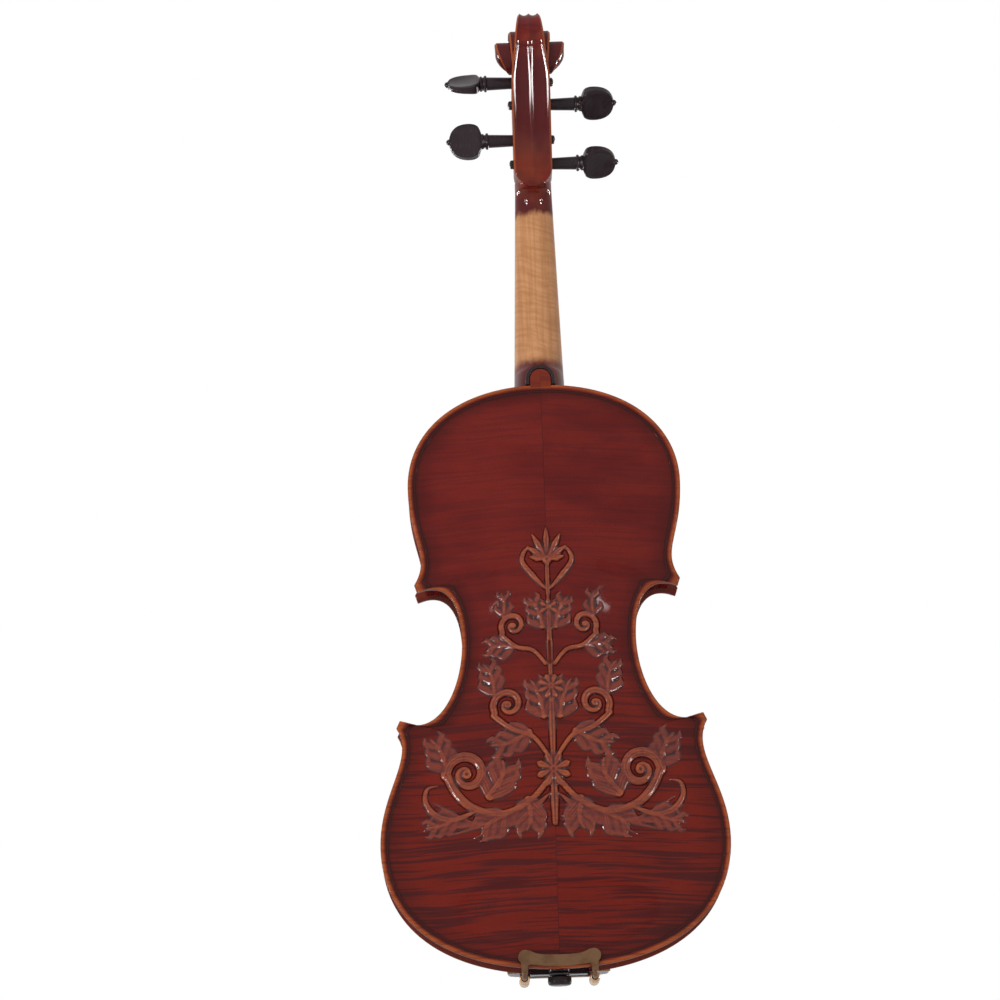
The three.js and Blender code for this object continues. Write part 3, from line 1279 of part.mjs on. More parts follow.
const gutPath = [...gutHalf, ...gutLoop, ...gutHalf.map(([x, y, z]) => [-x, y, z]).reverse()];
put('tail_gut', tube(gutPath, tailGut.radius, gutSides, gutSteps), 'gutPlastic');
const gutBores = [1, -1].map((side) => {
  const [a, b] = [-overrun, tailGut.reach + overrun].map((z) =>
    tailPoint([side * tailGut.spread, tailpiece.edgeThickness / 2, z]));
  return cord([a, b].map((p) => [p, tailGut.radius + glueLine]), gutSides);
});
const tailGrooves = runs.map(({ string, first, path }) =>
  cord([first, ...path.slice(0, 2)].map((p) => [p, string.radius + glueLine]), grooveSides));
const gutWay = tube(gutPath, tailGut.radius + glueLine, gutSides, gutSteps);
put('tailpiece', cut(tailBlank, ...slots, ...tailGrooves, ...gutBores, gutWay, tunerBore), 'ebony');

// Lever and screw of the tuner, and the string's seat in the lever's hook
const eRun = runs.find(({ string }) => string.name === 'e');
const leverSeat = cord([eRun.first, ...eRun.path.slice(0, 2)].map((p) =>
  [p, eRun.string.radius + glueLine]), grooveSides);
const leverPinHole = onTail(onPin(tuner.pinRadius + turningGap));
put('tuner_lever', cut(onTail(leverBlank), leverPinHole, leverSeat), 'steel');
const screwTipY = -tuner.armGap + glueLine;
const screwHeadY = tunerTop + tuner.bossHeight + tuner.travel + glueLine;
const screwProfile = [
  [0, screwTipY], [tuner.screwRadius, screwTipY], [tuner.screwRadius, screwHeadY],
  [tuner.headRadius, screwHeadY], [tuner.headRadius, screwHeadY + tuner.headHeight],
  [0, screwHeadY + tuner.headHeight],
];
const screwPiece = turned(screwProfile, pegSides).translate(tunerX, 0, screwAt);
put('tuner_screw', onTail(screwPiece), 'steel');

// Saddle and end button
const saddleSide = [
  [bellyInnerY + glueLine, 0], [saddleTopY - saddle.edge, 0], [saddleTopY, saddle.edge / 2],
  [saddleTopY, saddle.depth - saddle.edge / 2], [saddleTopY - saddle.edge, saddle.depth],
  [bellyInnerY + glueLine, saddle.depth],
];
const saddleRing = (x) => saddleSide.map(([y, z]) => [x, y, z]);
put('saddle', outward(skinRings([-1, 1].map((end) => saddleRing((end * saddle.width) / 2)))), 'ebony');

const buttonFace = rib.overhang - glueLine;
const collarEnd = endButton.collarLength;
const grooveEnd = collarEnd + endButton.grooveLength;
const headEnd = grooveEnd + endButton.headLength;
const buttonBevel = bevelShare * endButton.headRadius;
const buttonProfile = [
  [0, -endButton.taperLength], [endButton.taperEndRadius, -endButton.taperLength],
  [endButton.neckRadius, 0], [endButton.collarRadius, 0], [endButton.collarRadius, collarEnd],
  [endButton.grooveRadius, collarEnd], [endButton.grooveRadius, grooveEnd],
  [endButton.headRadius, grooveEnd], [endButton.headRadius, headEnd - buttonBevel],
  [endButton.headRadius - buttonBevel, headEnd], [0, headEnd],
];
const buttonTurned = turned(buttonProfile, buttonSides).rotateX(-quarterTurn);
put('end_button', buttonTurned.translate(0, ribMiddleY, buttonFace), 'ebony');

// Pegs: a tapered shank, a double collar, a heart-shaped head hollowed on both faces and a ball at its tip
const pegHead = () => {
  const from = peg.collarX + peg.collarLength - overrun / 2;
  return outward(skinRings(headShares.map(([share, wide, thick]) => {
    const x = from + share * (peg.headLength + overrun / 2);
    const half = (wide * peg.headWidth) / 2;
    const rim = (thick * peg.rimThickness) / 2;
    const dished = lerp((peg.neckThickness * thick) / 2, rim - peg.hollowDepth, share ** (1 / 3));
    const middle = Math.max(dished, peg.hollowDepth);
    return [
      [x, rim, half], [x, middle, half / 2], [x, middle, -half / 2], [x, rim, -half],
      [x, -rim, -half], [x, -middle, -half / 2], [x, -middle, half / 2], [x, -rim, half],
    ];
  })));
};
const pegPiece = () => {
  const farX = -pegbox.width / 2 - peg.farEnd;
  const far = shankRadiusAt(farX);
  const headX = peg.collarX + peg.collarLength;
  const domed = shankEndShares.map(([back, wide]) => [far * wide, farX - far * back]);
  const collar = collarShares.map(([share, wide]) =>
    [wide * peg.collarRadius, lerp(peg.collarX, headX, share)]);
  const profile = [...domed, [far, farX], [peg.shankRadius, peg.collarX], ...collar, [0, headX]];
  const tip = new THREE.SphereGeometry(peg.tipRadius, pinSides, pinSides - 2);
  return join(alongX(turned([[0, profile[0][1]], ...profile.slice(1)], pegSides)), pegHead(),
    tip.translate(headX + peg.headLength, 0, 0));
};
pegSpots.forEach(({ name, side, turnDeg, y, z }) => {
  const twisted = pegPiece().rotateX(THREE.MathUtils.degToRad(turnDeg));
  const placed = side > 0 ? twisted : twisted.rotateZ(Math.PI);
  put(`peg_${name}`, placed.translate(0, y, z), 'ebony');
});

// Windings: each is one tube whose loops run round its peg, from beside the string towards the middle
const coil = ({ string, spot, angle }) => {
  const startX = spot.offset - 2 * string.radius - turningGap;
  const centreAt = (step) => {
    const turn = step / windingSteps;
    const x = spot.side * (startX - winding.pitch * turn);
    return { x, turn: angle + turn * fullTurn, radius: windingRadius(string, x, spot.side) };
  };
  const stepCount = windingTurns * windingSteps;
  const centres = Array.from({ length: stepCount + 1 }, (_, i) => centreAt(i));
  const rings = centres.map(({ x, turn, radius }) =>
    Array.from({ length: windingSides }, (_, k) => {
      const round = (k / windingSides) * fullTurn;
      const [aside, out] = [string.radius * Math.sin(round), string.radius * Math.cos(round)];
      return onPeg(spot, x + aside, radius + out, turn);
    }));
  const points = centres.map(({ x, turn, radius }) => new THREE.Vector3(...onPeg(spot, x, radius, turn)));
  const distances = points.flatMap((p, i) => points.slice(i + windingSteps / 2).map((q) => p.distanceTo(q)));
  const least = Math.min(...distances) - 2 * string.radius;
  console.log(`winding ${string.name}: least gap to itself ${least.toFixed(2)} mm`);
  return outward(skinRings(rings));
};
runs.forEach((run) => put(`winding_${run.string.name}`, coil(run), run.string.look));

// Chinrest: a dished cup on the bass side, a bar over the tailpiece and legs down to a cork-lined foot
const cupRing = (scale, y) =>
  Array.from({ length: cupSides }, (_, i) => {
    const angle = (i / cupSides) * fullTurn;
    const across = signedPower(Math.cos(angle), cupSquareness) * chinrest.cupHalfX * scale;
    const along = signedPower(Math.sin(angle), cupSquareness) * chinrest.cupHalfZ * scale;
    return [chinrest.cupX + across, y, chinrest.cupZ + along];
  });
const cupUnderY = chinrest.cupTopY - chinrest.thickness;
const cupRings = [
  ...cupUnderShares.map(([scale, share]) => cupRing(scale, lerp(cupUnderY, chinrest.cupTopY, share))),
  ...cupDishShares.map(([scale, share]) => cupRing(scale, chinrest.cupTopY - share * chinrest.dish)),
];
const barFrom = chinrest.legFromZ;
const footY = bellyOuterY + chinrest.corkThickness + 2 * glueLine;
const corkY = bellyOuterY + glueLine;
// A bar across the tail end, and a leg under each of its ends
const crossBar = (fromY, toY, fromZ, toZ) =>
  box([-chinrest.barHalf, fromY, fromZ], [chinrest.barHalf, toY, toZ]);
const legPair = (fromY, toY) => sides.map(([, side]) => {
  const [low, high] = [side * chinrest.footFrom, side * chinrest.barHalf].sort((a, b) => a - b);
  return box([low, fromY, barFrom], [high, toY, chinrest.footToZ]);
});
put('chinrest', join(
  outward(skinRings(cupRings)),
  crossBar(chinrest.barY, chinrest.barY + chinrest.barThickness, barFrom, chinrest.barToZ),
  crossBar(footY, footY + chinrest.footHeight, chinrest.footFromZ, chinrest.footToZ),
  ...legPair(footY, chinrest.barY + overrun),
), 'ebony');
const cork = join(
  crossBar(corkY, footY - glueLine, chinrest.footFromZ, chinrest.footToZ),
  ...legPair(corkY, footY - glueLine),
);
put('chinrest_cork', cork, 'cork');

// Clamp: rods from the bracket under the bar and from the plate behind the back meet in two turned barrels
const rodPath = (side, points) =>
  tube(points.map(([y, z]) => [side * clamp.rodX, y, z]), clamp.rodRadius, rodSides, rodSteps);
const barrelTo = clamp.barrelFrom + clamp.barrelLength;
const upperPlateZ = barFrom - glueLine;
const upperBendZ = lerp(upperPlateZ, clamp.rodZ, upperBendShare);
const upperRodPoints = [
  [clamp.upperPlateY + clamp.upperPlateWidth / 2, upperPlateZ - clamp.rodRadius],
  [clamp.upperPlateY, lerp(upperPlateZ, clamp.rodZ, 1 / 2)],
  [clamp.upperPlateY - 2 * clamp.rodRadius, upperBendZ],
  [clamp.upperPlateY - 4 * clamp.rodRadius, clamp.rodZ],
  [barrelTo, clamp.rodZ],
  [clamp.upperRodFrom, clamp.rodZ],
];
put('clamp_bracket', join(
  box([-clamp.rodX - clamp.tabHalf, clamp.upperPlateY, upperPlateZ - clamp.upperPlateThickness],
    [clamp.rodX + clamp.tabHalf, clamp.upperPlateY + clamp.upperPlateWidth, upperPlateZ]),
  ...sides.map(([, side]) => rodPath(side, upperRodPoints)),
), 'gilt');
const backPlateY = clamp.plateY - clamp.plateThickness;
const lobe = (side) =>
  rod(clamp.lobeRadius, backPlateY, clamp.plateY, buttonSides).translate(side * clamp.rodX, 0, clamp.lobeZ);
const tab = (x) =>
  box([x - clamp.tabHalf, backPlateY, clamp.rodZ / 2], [x + clamp.tabHalf, clamp.plateY, clamp.lobeZ]);
const lowerRodPoints = [
  [clamp.plateY - clamp.plateThickness / 2, clamp.rodZ / 4],
  [0, clamp.rodZ * lowerBendShare],
  [2 * clamp.rodRadius, clamp.rodZ],
  [4 * clamp.rodRadius, clamp.rodZ],
  [clamp.lowerRodTo, clamp.rodZ],
];
put('clamp_plate', join(
  box([-clamp.rodX, backPlateY, clamp.plateFromZ], [clamp.rodX, clamp.plateY, clamp.plateToZ]),
  ...sides.flatMap(([, side]) => [lobe(side), tab(side * clamp.rodX), rodPath(side, lowerRodPoints)]),
), 'gilt');
const barrelBore = clamp.rodRadius + turningGap;
const barrelBevel = bevelShare * clamp.barrelRadius;
const barrelProfile = [
  [barrelBore, clamp.barrelFrom], [clamp.barrelRadius - barrelBevel, clamp.barrelFrom],
  [clamp.barrelRadius, clamp.barrelFrom + barrelBevel], [clamp.barrelRadius, barrelTo - barrelBevel],
  [clamp.barrelRadius - barrelBevel, barrelTo], [barrelBore, barrelTo], [barrelBore, clamp.barrelFrom],
];
const keyY = (clamp.lowerRodTo + clamp.upperRodFrom) / 2;
const keyHole = alongX(rod(clamp.keyHoleRadius, -clamp.barrelLength, clamp.barrelLength, pinSides))
  .translate(0, keyY, 0);
sides.forEach(([sideName, side]) => {
  const barrel = cut(turned(barrelProfile, buttonSides), keyHole);
  put(`clamp_barrel_${sideName}`, barrel.translate(side * clamp.rodX, 0, clamp.rodZ), 'gilt');
});

// The whole instrument hangs from the point under its scroll
instrument.position.set(0, -scroll.eyeY, hanger.belowEye - eyeZ);

export default root;
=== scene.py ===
"""A full-size violin with a carved back, hung by its scroll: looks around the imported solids.

Sizes are in millimetres from the bottom edge of the back's centre line, as a maker lays them out,
and place() turns them into metres from the hanger point under the scroll.
"""

import math

import bmesh
import bpy
import numpy as np
from mathutils import Matrix, Vector
from mathutils.bvhtree import BVHTree


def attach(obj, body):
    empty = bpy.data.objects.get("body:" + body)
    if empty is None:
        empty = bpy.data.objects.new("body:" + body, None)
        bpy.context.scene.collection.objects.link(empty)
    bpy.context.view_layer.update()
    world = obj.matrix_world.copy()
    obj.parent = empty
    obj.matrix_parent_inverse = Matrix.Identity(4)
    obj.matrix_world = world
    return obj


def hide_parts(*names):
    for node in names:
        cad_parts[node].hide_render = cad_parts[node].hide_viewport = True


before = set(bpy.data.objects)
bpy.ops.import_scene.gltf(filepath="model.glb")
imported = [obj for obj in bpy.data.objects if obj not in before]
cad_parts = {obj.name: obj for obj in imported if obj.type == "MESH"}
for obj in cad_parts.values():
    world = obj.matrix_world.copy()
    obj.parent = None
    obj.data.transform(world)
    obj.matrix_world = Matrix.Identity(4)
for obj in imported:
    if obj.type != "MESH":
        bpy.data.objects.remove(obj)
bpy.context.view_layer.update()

bl_info = {
    "name": "Carved violin",
    "version": (1, 0, 0),
    "blender": (4, 5, 0),
    "location": "3D View > Sidebar > Violin",
    "description": "Builds a carved violin around its packed solids",
    "category": "Object",
}

MM = 0.001
TURN = 2 * math.pi
ROOT_BODY = "violin"

# Where the maker's layout starts: the eye of the scroll and the hanger point below it
EYE_Y = 1.0
EYE_Z = 565.5
HANGER_BELOW_EYE = 20.0


# ---- Sizes and colours that a user would change --------------------------------------------------


def described(words):
    """A property's name and description from words that hold both."""
    name, text = words.split(": ", 1)
    return {"name": name, "description": text}


def length(words, default, low=0.0):
    return bpy.props.FloatProperty(**described(words), default=default, min=low, unit="LENGTH", precision=5)


def colour(words, default):
    return bpy.props.FloatVectorProperty(**described(words), default=default, size=3, min=0.0, max=1.0,
                                         subtype="COLOR")


class ViolinSizes(bpy.types.PropertyGroup):
    """Sizes of the forms that are made here."""

    relief: length("Relief: height of the back's carving above the plate", 0.0024)
    relief_cell: length("Carving step: spacing of the carving's mesh", 0.00042, 0.0002)
    chamfer: length("Scroll chamfer: width of the bevel along the scroll's edges", 0.0011)
    scroll_flute: length("Flute depth: depth of the two flutes behind the pegbox", 0.0013)
    bevel: length("Small bevel: edge bevel of the ebony and metal fittings", 0.0004)


class ViolinColours(bpy.types.PropertyGroup):
    """Colours of the finishes."""

    varnish_light: colour("Varnish, light: red-brown varnish between the flames", (0.140, 0.008, 0.006))
    varnish_dark: colour("Varnish, dark: red-brown varnish in the flames", (0.042, 0.006, 0.007))
    # This colour also lightens the carving's crests, where it is partly a painted highlight.
    worn_edge_and_highlight: colour("Worn edge: thin varnish on edges and raised carving", (0.34, 0.075, 0.018))
    heel_shade: colour("Heel: dark varnish on heel and throat", (0.075, 0.010, 0.011))
    handle_light: colour("Handle, light: oiled maple of the neck", (0.57, 0.275, 0.125))
    handle_dark: colour("Handle, dark: flame bands of the neck", (0.33, 0.135, 0.045))
    ebony: colour("Ebony: black wood of the fittings", (0.022, 0.013, 0.015))
    gilt: colour("Gilt: metal of the chinrest clamp", (0.165, 0.088, 0.046))
    floor: colour("Floor: pale floor under the violin", (0.86, 0.86, 0.86))


# ---- Node expressions ----------------------------------------------------------------------------


def operators(operation):
    """An operator's two methods for Wire, with the other value on the right and on the left."""
    return (lambda self, other: self.math(operation, self, other),
            lambda self, other: self.math(operation, other, self))


class Wire:
    """A socket of a material's node tree. Sums, differences and products on it add Math nodes."""

    def __init__(self, tree, socket=None):
        self.tree = tree
        self.socket = socket

    def node(self, kind, settings=None, sockets=None, out=0):
        """Adds a node, sets its settings first, then fills its sockets with values or links."""
        made = self.tree.nodes.new("ShaderNode" + kind)
        for key, value in (settings or {}).items():
            setattr(made, key, value)
        for key, value in (sockets or {}).items():
            if isinstance(value, Wire):
                self.tree.links.new(value.socket, made.inputs[key])
            elif hasattr(value, "__len__") and made.inputs[key].type == "RGBA" and len(value) == 3:
                made.inputs[key].default_value = (*value, 1.0)
            else:
                made.inputs[key].default_value = value
        return Wire(self.tree, made.outputs[out] if len(made.outputs) else None)

    def math(self, operation, *values, clamp=False):
        return self.node("Math", {"operation": operation, "use_clamp": clamp}, dict(enumerate(values)))

    __add__, __radd__ = operators("ADD")
    __sub__, __rsub__ = operators("SUBTRACT")
    __mul__, __rmul__ = operators("MULTIPLY")
    __truediv__, __rtruediv__ = operators("DIVIDE")

    def __abs__(self):
        return self.math("ABSOLUTE", self)

    def clamped(self):
        return self.math("ADD", self, 0.0, clamp=True)

    def between(self, low, high):
        """This value's smooth step from 0 at low to 1 at high."""
        return self.node("MapRange", {"interpolation_type": "SMOOTHSTEP"}, {0: self, 1: low, 2: high})

    def mix(self, first, second):
        """A colour that goes from the first to the second as this value goes from 0 to 1."""
        return self.node("Mix", {"data_type": "RGBA"}, {0: self, 6: first, 7: second}, out=2)

    def noise(self, where, scale, detail=2.0, roughness=0.5):
        return self.node("TexNoise", {}, {"Vector": where, "Scale": scale, "Detail": detail,
                                          "Roughness": roughness})


def new_material(name, build):
    """A procedural material: build(wire, position) returns the Principled shader's sockets, and its bump."""
    material = bpy.data.materials.new(name)
    material.use_nodes = True
    tree = material.node_tree
    tree.nodes.clear()
    wire = Wire(tree)
    position = wire.node("TexCoord", out=3)
    sockets = build(wire, position)
    bump, fade = sockets.pop("bump", None), sockets.pop("fade", None)
    if bump:
        height, distance = bump
        sockets["Normal"] = wire.node("Bump", {}, {"Height": height, "Distance": distance, "Strength": 1.0})
    shader = wire.node("BsdfPrincipled", {}, sockets)
    if fade:
        glow = wire.node("Emission", {}, {"Color": (1.0, 1.0, 1.0), "Strength": 1.0})
        shader = wire.node("MixShader", {}, {0: fade, 1: shader, 2: glow})
    wire.node("OutputMaterial", {}, {0: shader})
    return material


def split(wire, position):
    parts = wire.node("SeparateXYZ", {}, {0: position}).socket.node
    return [Wire(wire.tree, parts.outputs[i]) for i in range(3)]


def join_xyz(wire, x, y, z):
    return wire.node("CombineXYZ", {}, {0: x, 1: y, 2: z})


# ---- Finishes ------------------------------------------------------------------------------------


def millimetres(wire, position):
    return [part * 1000.0 for part in split(wire, position)]


def stored(wire, name):
    """A value that the mesh keeps at each of its points."""
    return wire.node("Attribute", {"attribute_type": "GEOMETRY", "attribute_name": name}, out=2)


def flames(wire, along, across, spacing, reach):
    """Dark cross bands of curled maple: spacing is their mean distance, reach how far one band runs."""
    drift = wire.noise(join_xyz(wire, across / (reach * 0.6), 1.7, along / (spacing * 6)), 1.0, 1.0)
    place = along + drift * (spacing * 0.9)
    broad = wire.noise(join_xyz(wire, across / reach, 0.0, place / spacing), 1.0, 3.0, 0.55)
    fine = wire.noise(join_xyz(wire, across / (reach * 0.5), 4.0, place / (spacing * 0.3)), 1.0, 2.0)
    return (broad * 0.55 + fine * 0.45).between(0.40, 0.62)


def pores(wire, along, across):
    """Short fine pores that run with the grain."""
    return wire.noise(join_xyz(wire, across / 0.35, 2.0, along / 5.0), 1.0, 2.0).between(0.52, 0.72)


def tinted(shade, *factors):
    """A colour times one factor, or times a factor for each of its parts."""
    return tuple(c * f for c, f in zip(shade, factors if len(factors) > 1 else factors * 3))


def glossy(colour_in, roughness=0.3, bump=None, coat=0.25):
    sockets = {"Base Color": colour_in, "Roughness": roughness, "Coat Weight": coat,
               "Coat Roughness": 0.05, "Specular IOR Level": 0.0}
    if bump:
        sockets["bump"] = bump
    return sockets


def back_finish(wire, position, tints, carved):
    """Flamed maple in two halves under worn varnish; the carving is glossier, its grooves darkened by pooled varnish
    and painted shade and its crests lightened by wear and a painted highlight.
    """
    x, y, z = millimetres(wire, position)
    half = abs(x)
    other = wire.math("GREATER_THAN", x, 0.0) * 61.0
    low = 1.0 - z.between(-440.0, -330.0)
    band = flames(wire, z + half * 0.035 + other, half + other, 5.0, 95.0).between(0.22, 0.82)
    cloud = wire.noise(join_xyz(wire, x / 60.0 + other, 0.0, z / 26.0), 1.0, 3.0).between(0.36, 0.64)
    grain = pores(wire, z, x)
    light = cloud.mix(tinted(tints.varnish_light, 0.82), tinted(tints.varnish_light, 1.15, 1.4, 1.1))
    light = (low * 0.6).mix(light, tinted(tints.varnish_light, 1.15, 1.3, 0.4))
    tone = (band * (0.26 + 0.5 * low) * (0.45 if carved else 1.0)).mix(light, tints.varnish_dark)
    weave = wire.noise(join_xyz(wire, x / 0.7, 3.0, z / 1.1), 1.0, 2.0).between(0.4, 0.6)
    tone = (grain * 0.22 + weave * 0.14).mix(tone, tints.varnish_dark)
    joint = (1.0 - half.between(0.12, 0.4)) * 0.55
    tone = joint.mix(tone, tints.varnish_dark)
    # The stored wear lightens the worn edges; on the carving's crests it is partly a painted highlight.
    worn = stored(wire, "worn")
    patch = wire.noise(join_xyz(wire, x / 9.0, y / 4.0, z / 9.0), 1.0, 3.0)
    thin = (worn * (0.45 + 0.35 * (1.0 - band) + patch * 0.3)).clamped()
    tone = thin.mix(tone, tints.worn_edge_and_highlight)
    # Darker in hollows: pooled varnish in the plate's groove and channel; on the carving, pooled varnish and painted
    # shade in grooves, valleys and at the foot of each form.
    deep = stored(wire, "deep")
    tone = (deep * (0.92 if carved else 0.75)).mix(tone, tinted(tints.varnish_dark, 0.4))
    return glossy(tone, 0.24 + 0.14 * grain, (grain * -0.4 + band * 0.25, 0.00006), 0.7 if carved else 0.25)


def rib_finish(wire, position, tints):
    y = millimetres(wire, position)[1]
    run = stored(wire, "run")
    band = flames(wire, run, y, 5.0, 40.0)
    grain = pores(wire, run * 0.2, y * 2.0)
    tone = (band * 0.85).mix(tints.varnish_light, tints.varnish_dark)
    tone = (grain * 0.25).mix(tone, tints.varnish_dark)
    return glossy(tone, 0.26 + 0.12 * grain, (grain * -0.4, 0.00005))


def belly_finish(wire, position, tints):
    x, _, z = millimetres(wire, position)
    half = abs(x)
    sway = wire.noise(join_xyz(wire, x / 30.0, 0.0, z / 160.0), 1.0, 1.0)
    line = wire.math("FRACT", half / 1.25 + sway * 1.4)
    winter = line.between(0.62, 0.92) * (1.0 - line.between(0.92, 1.0))
    fleck = wire.noise(join_xyz(wire, x / 3.0, 0.0, z / 0.8), 1.0, 1.0).between(0.6, 0.75)
    tone = (winter * 0.9).mix(tints.varnish_light, tints.varnish_dark)
    tone = (fleck * 0.2).mix(tone, tints.worn_edge_and_highlight)
    worn = stored(wire, "worn")
    tone = (worn * 0.8).mix(tone, tints.worn_edge_and_highlight)
    deep = stored(wire, "deep")
    tone = (deep * 0.85).mix(tone, tinted(tints.varnish_dark, 0.45))
    return glossy(tone, 0.26 + 0.1 * winter, (winter * -0.6, 0.00006))


def neck_finish(wire, position, tints, worn):
    """Dark red varnish on the head and the heel, and a bare, oiled handle between soft uneven borders."""
    x, y, z = millimetres(wire, position)
    layout = z + (EYE_Z - HANGER_BELOW_EYE)
    band = flames(wire, z + x * 0.25, x, 6.5, 26.0)
    grain = pores(wire, z, x)
    edge = wire.noise(join_xyz(wire, x / 5.0, y / 9.0, z / 14.0), 1.0, 3.0) * 9.0 - 4.5
    top = (layout + edge).between(467.0, 472.0)
    low = 1.0 - (layout + edge * 0.7).between(372.0, 380.0)
    streak = wire.noise(join_xyz(wire, x / 2.6, y / 9.0, z / 90.0), 1.0, 3.0).between(0.42, 0.66)
    handle = (band * 0.45).mix(tints.handle_light, tints.handle_dark)
    handle = (grain * 0.25 + streak * 0.4).mix(handle, tints.handle_dark)
    red = (band * 0.6).mix(tints.varnish_light, tints.varnish_dark)
    side = abs(x).between(8.0, 10.5) * layout.between(515.0, 530.0)
    maroon = (layout.between(494.0, 508.0) * (1.0 - layout.between(556.0, 572.0)) + side).clamped()
    red = (maroon * 0.85).mix(red, tints.heel_shade)
    throat = 1.0 - (layout + edge).between(474.0, 492.0)
    red = (throat * 0.75).mix(red, tints.heel_shade)
    sun = wire.noise(join_xyz(wire, x / 20.0, y / 30.0, z / 26.0), 1.0, 2.0).between(0.38, 0.62)
    glow = (layout.between(556.0, 572.0) * 0.6 * (1.0 - side) + (1.0 - layout.between(500.0, 524.0)) * 0.2) * sun
    red = glow.mix(red, tints.worn_edge_and_highlight)
    if worn:
        red = (0.7 + 0.2 * grain).mix(red, tints.worn_edge_and_highlight)
    painted = (top + low).clamped()
    tone = painted.mix(handle, red)
    return {"Base Color": tone, "Roughness": painted * -0.1 + 0.36, "Coat Weight": 0.3, "Coat Roughness": 0.06,
            "Specular IOR Level": 0.0, "bump": (grain * -0.5 + band * 0.2, 0.00006)}


def ebony_finish(wire, position, tints):
    x, y, z = millimetres(wire, position)
    grain = pores(wire, z, x + y)
    tone = (grain * 0.4).mix(tints.ebony, tuple(c * 2.5 + 0.01 for c in tints.ebony))
    return {"Base Color": tone, "Roughness": 0.3 + 0.2 * grain, "Coat Weight": 0.15, "Coat Roughness": 0.16,
            "Specular IOR Level": 0.08, "bump": (grain * -1.0, 0.00002)}


def inlay_finish(wire, position, _):
    grain = wire.noise(position, 1800.0, 2.0)
    tone = grain.mix((0.028, 0.005, 0.005), (0.052, 0.010, 0.008))
    return glossy(tone, 0.3)


def plain_wood(wire, position, _, light, dark, rough, fleck_scale=(1.2, 8.0)):
    x, y, z = millimetres(wire, position)
    grain = wire.noise(join_xyz(wire, x / fleck_scale[0], y / fleck_scale[0], z / fleck_scale[1]),
                       1.0, 3.0).between(0.35, 0.7)
    saw = wire.noise(join_xyz(wire, x / 0.5, y / 9.0, z / 0.5), 1.0, 2.0)
    return {"Base Color": grain.mix(light, dark), "Roughness": rough - 0.1 * grain,
            "bump": (saw * 0.6 - grain, 0.00008)}


def cork_finish(wire, position, _):
    cells = wire.node("TexVoronoi", {}, {"Vector": position, "Scale": 900.0})
    specks = wire.noise(position, 1400.0, 3.0).between(0.55, 0.7)
    tone = specks.mix((0.42, 0.25, 0.11), (0.12, 0.06, 0.03))
    return {"Base Color": tone, "Roughness": 0.92, "bump": (cells * 1.0 - specks, 0.0002)}


def gilt_finish(wire, position, tints, worn):
    """Satin gilt metal; worn edges are brighter, on the bevels partly as a painted highlight."""
    x, y, z = millimetres(wire, position)
    brush = wire.noise(join_xyz(wire, x / 14.0, y / 3.0, z / 0.12), 1.0, 2.0)
    cloud = wire.noise(position, 130.0, 3.0).between(0.4, 0.7)
    bright = tints.gilt if not worn else tinted(tints.gilt, 3.3, 4.0, 4.4)
    tone = cloud.mix(bright, tinted(bright, 0.72))
    return {"Base Color": tone, "Metallic": 0.92, "Roughness": 0.46 - 0.16 * worn + 0.08 * cloud,
            "bump": (brush, 0.00003)}


def steel_finish(wire, position, _, wound):
    x, y, z = millimetres(wire, position)
    shade = wire.noise(position, 90.0, 2.0)
    tone = shade.mix((0.42, 0.42, 0.43), (0.62, 0.61, 0.60))
    if not wound:
        scratch = wire.noise(join_xyz(wire, x / 0.3, y / 6.0, z / 0.3), 1.0, 1.0)
        return {"Base Color": tone, "Metallic": 1.0, "Roughness": 0.25 + 0.12 * shade,
                "bump": (scratch, 0.00002)}
    silk = layered(z) * 0.85
    tone = silk.mix(tone, (0.10, 0.008, 0.010))
    turns = wire.math("SINE", z * (TURN / 0.16))
    return {"Base Color": tone, "Metallic": 1.0 - silk, "Roughness": 0.3 + 0.35 * silk,
            "bump": (turns * 0.5 + 0.5, 0.00004)}


def layered(z):
    """Where a string is wrapped in thread: beside its ball and up at its peg."""
    layout = z + (EYE_Z - HANGER_BELOW_EYE)
    return (layout.between(483.0, 485.0) + (1.0 - layout.between(124.0, 126.0))).clamped()


def cord_finish(wire, position, _):
    haze = wire.noise(position, 300.0, 2.0)
    return {"Base Color": haze.mix((0.010, 0.010, 0.011), (0.03, 0.03, 0.032)), "Roughness": 0.38,
            "bump": (haze, 0.00003)}


FINISHES = {  # name: slot, function and what it takes after the colours
    "back": ("varnished_maple", back_finish, False),
    "carving": ("varnished_maple", back_finish, True),
    "ribs": ("varnished_maple", rib_finish),
    "belly": ("varnished_maple", belly_finish),
    "neck": ("varnished_maple", neck_finish, 0),
    "neck_edge": ("varnished_maple", neck_finish, 1),
    "ebony": ("black_wood", ebony_finish),
    "inlay": ("inlay", inlay_finish),
    "inner": ("inner_wood", plain_wood, (0.56, 0.38, 0.20), (0.42, 0.26, 0.12), 0.8),
    "bridge": ("bridge_wood", plain_wood, (0.62, 0.42, 0.21), (0.40, 0.22, 0.09), 0.55, (0.8, 0.5)),
    "cork": ("cork", cork_finish),
    "gilt": ("gilt_metal", gilt_finish, 0),
    "gilt_edge": ("gilt_metal", gilt_finish, 1),
    "steel": ("string_steel", steel_finish, False),
    "wound": ("string_steel", steel_finish, True),
    "cord": ("tail_cord", cord_finish),
}


def finish_of(name):
    _, build, *options = FINISHES[name]
    tints = bpy.context.scene.violin_colours
    return bpy.data.materials.get("violin " + name) or new_material(
        "violin " + name, lambda wire, position: build(wire, position, tints, *options))


# ---- Meshes in the maker's layout ----------------------------------------------------------------


def place(points):
    """Points in millimetres of the layout, as metres from the hanger point."""
    moved = np.asarray(points, dtype=float) - (0.0, EYE_Y, EYE_Z - HANGER_BELOW_EYE)
    return moved * MM


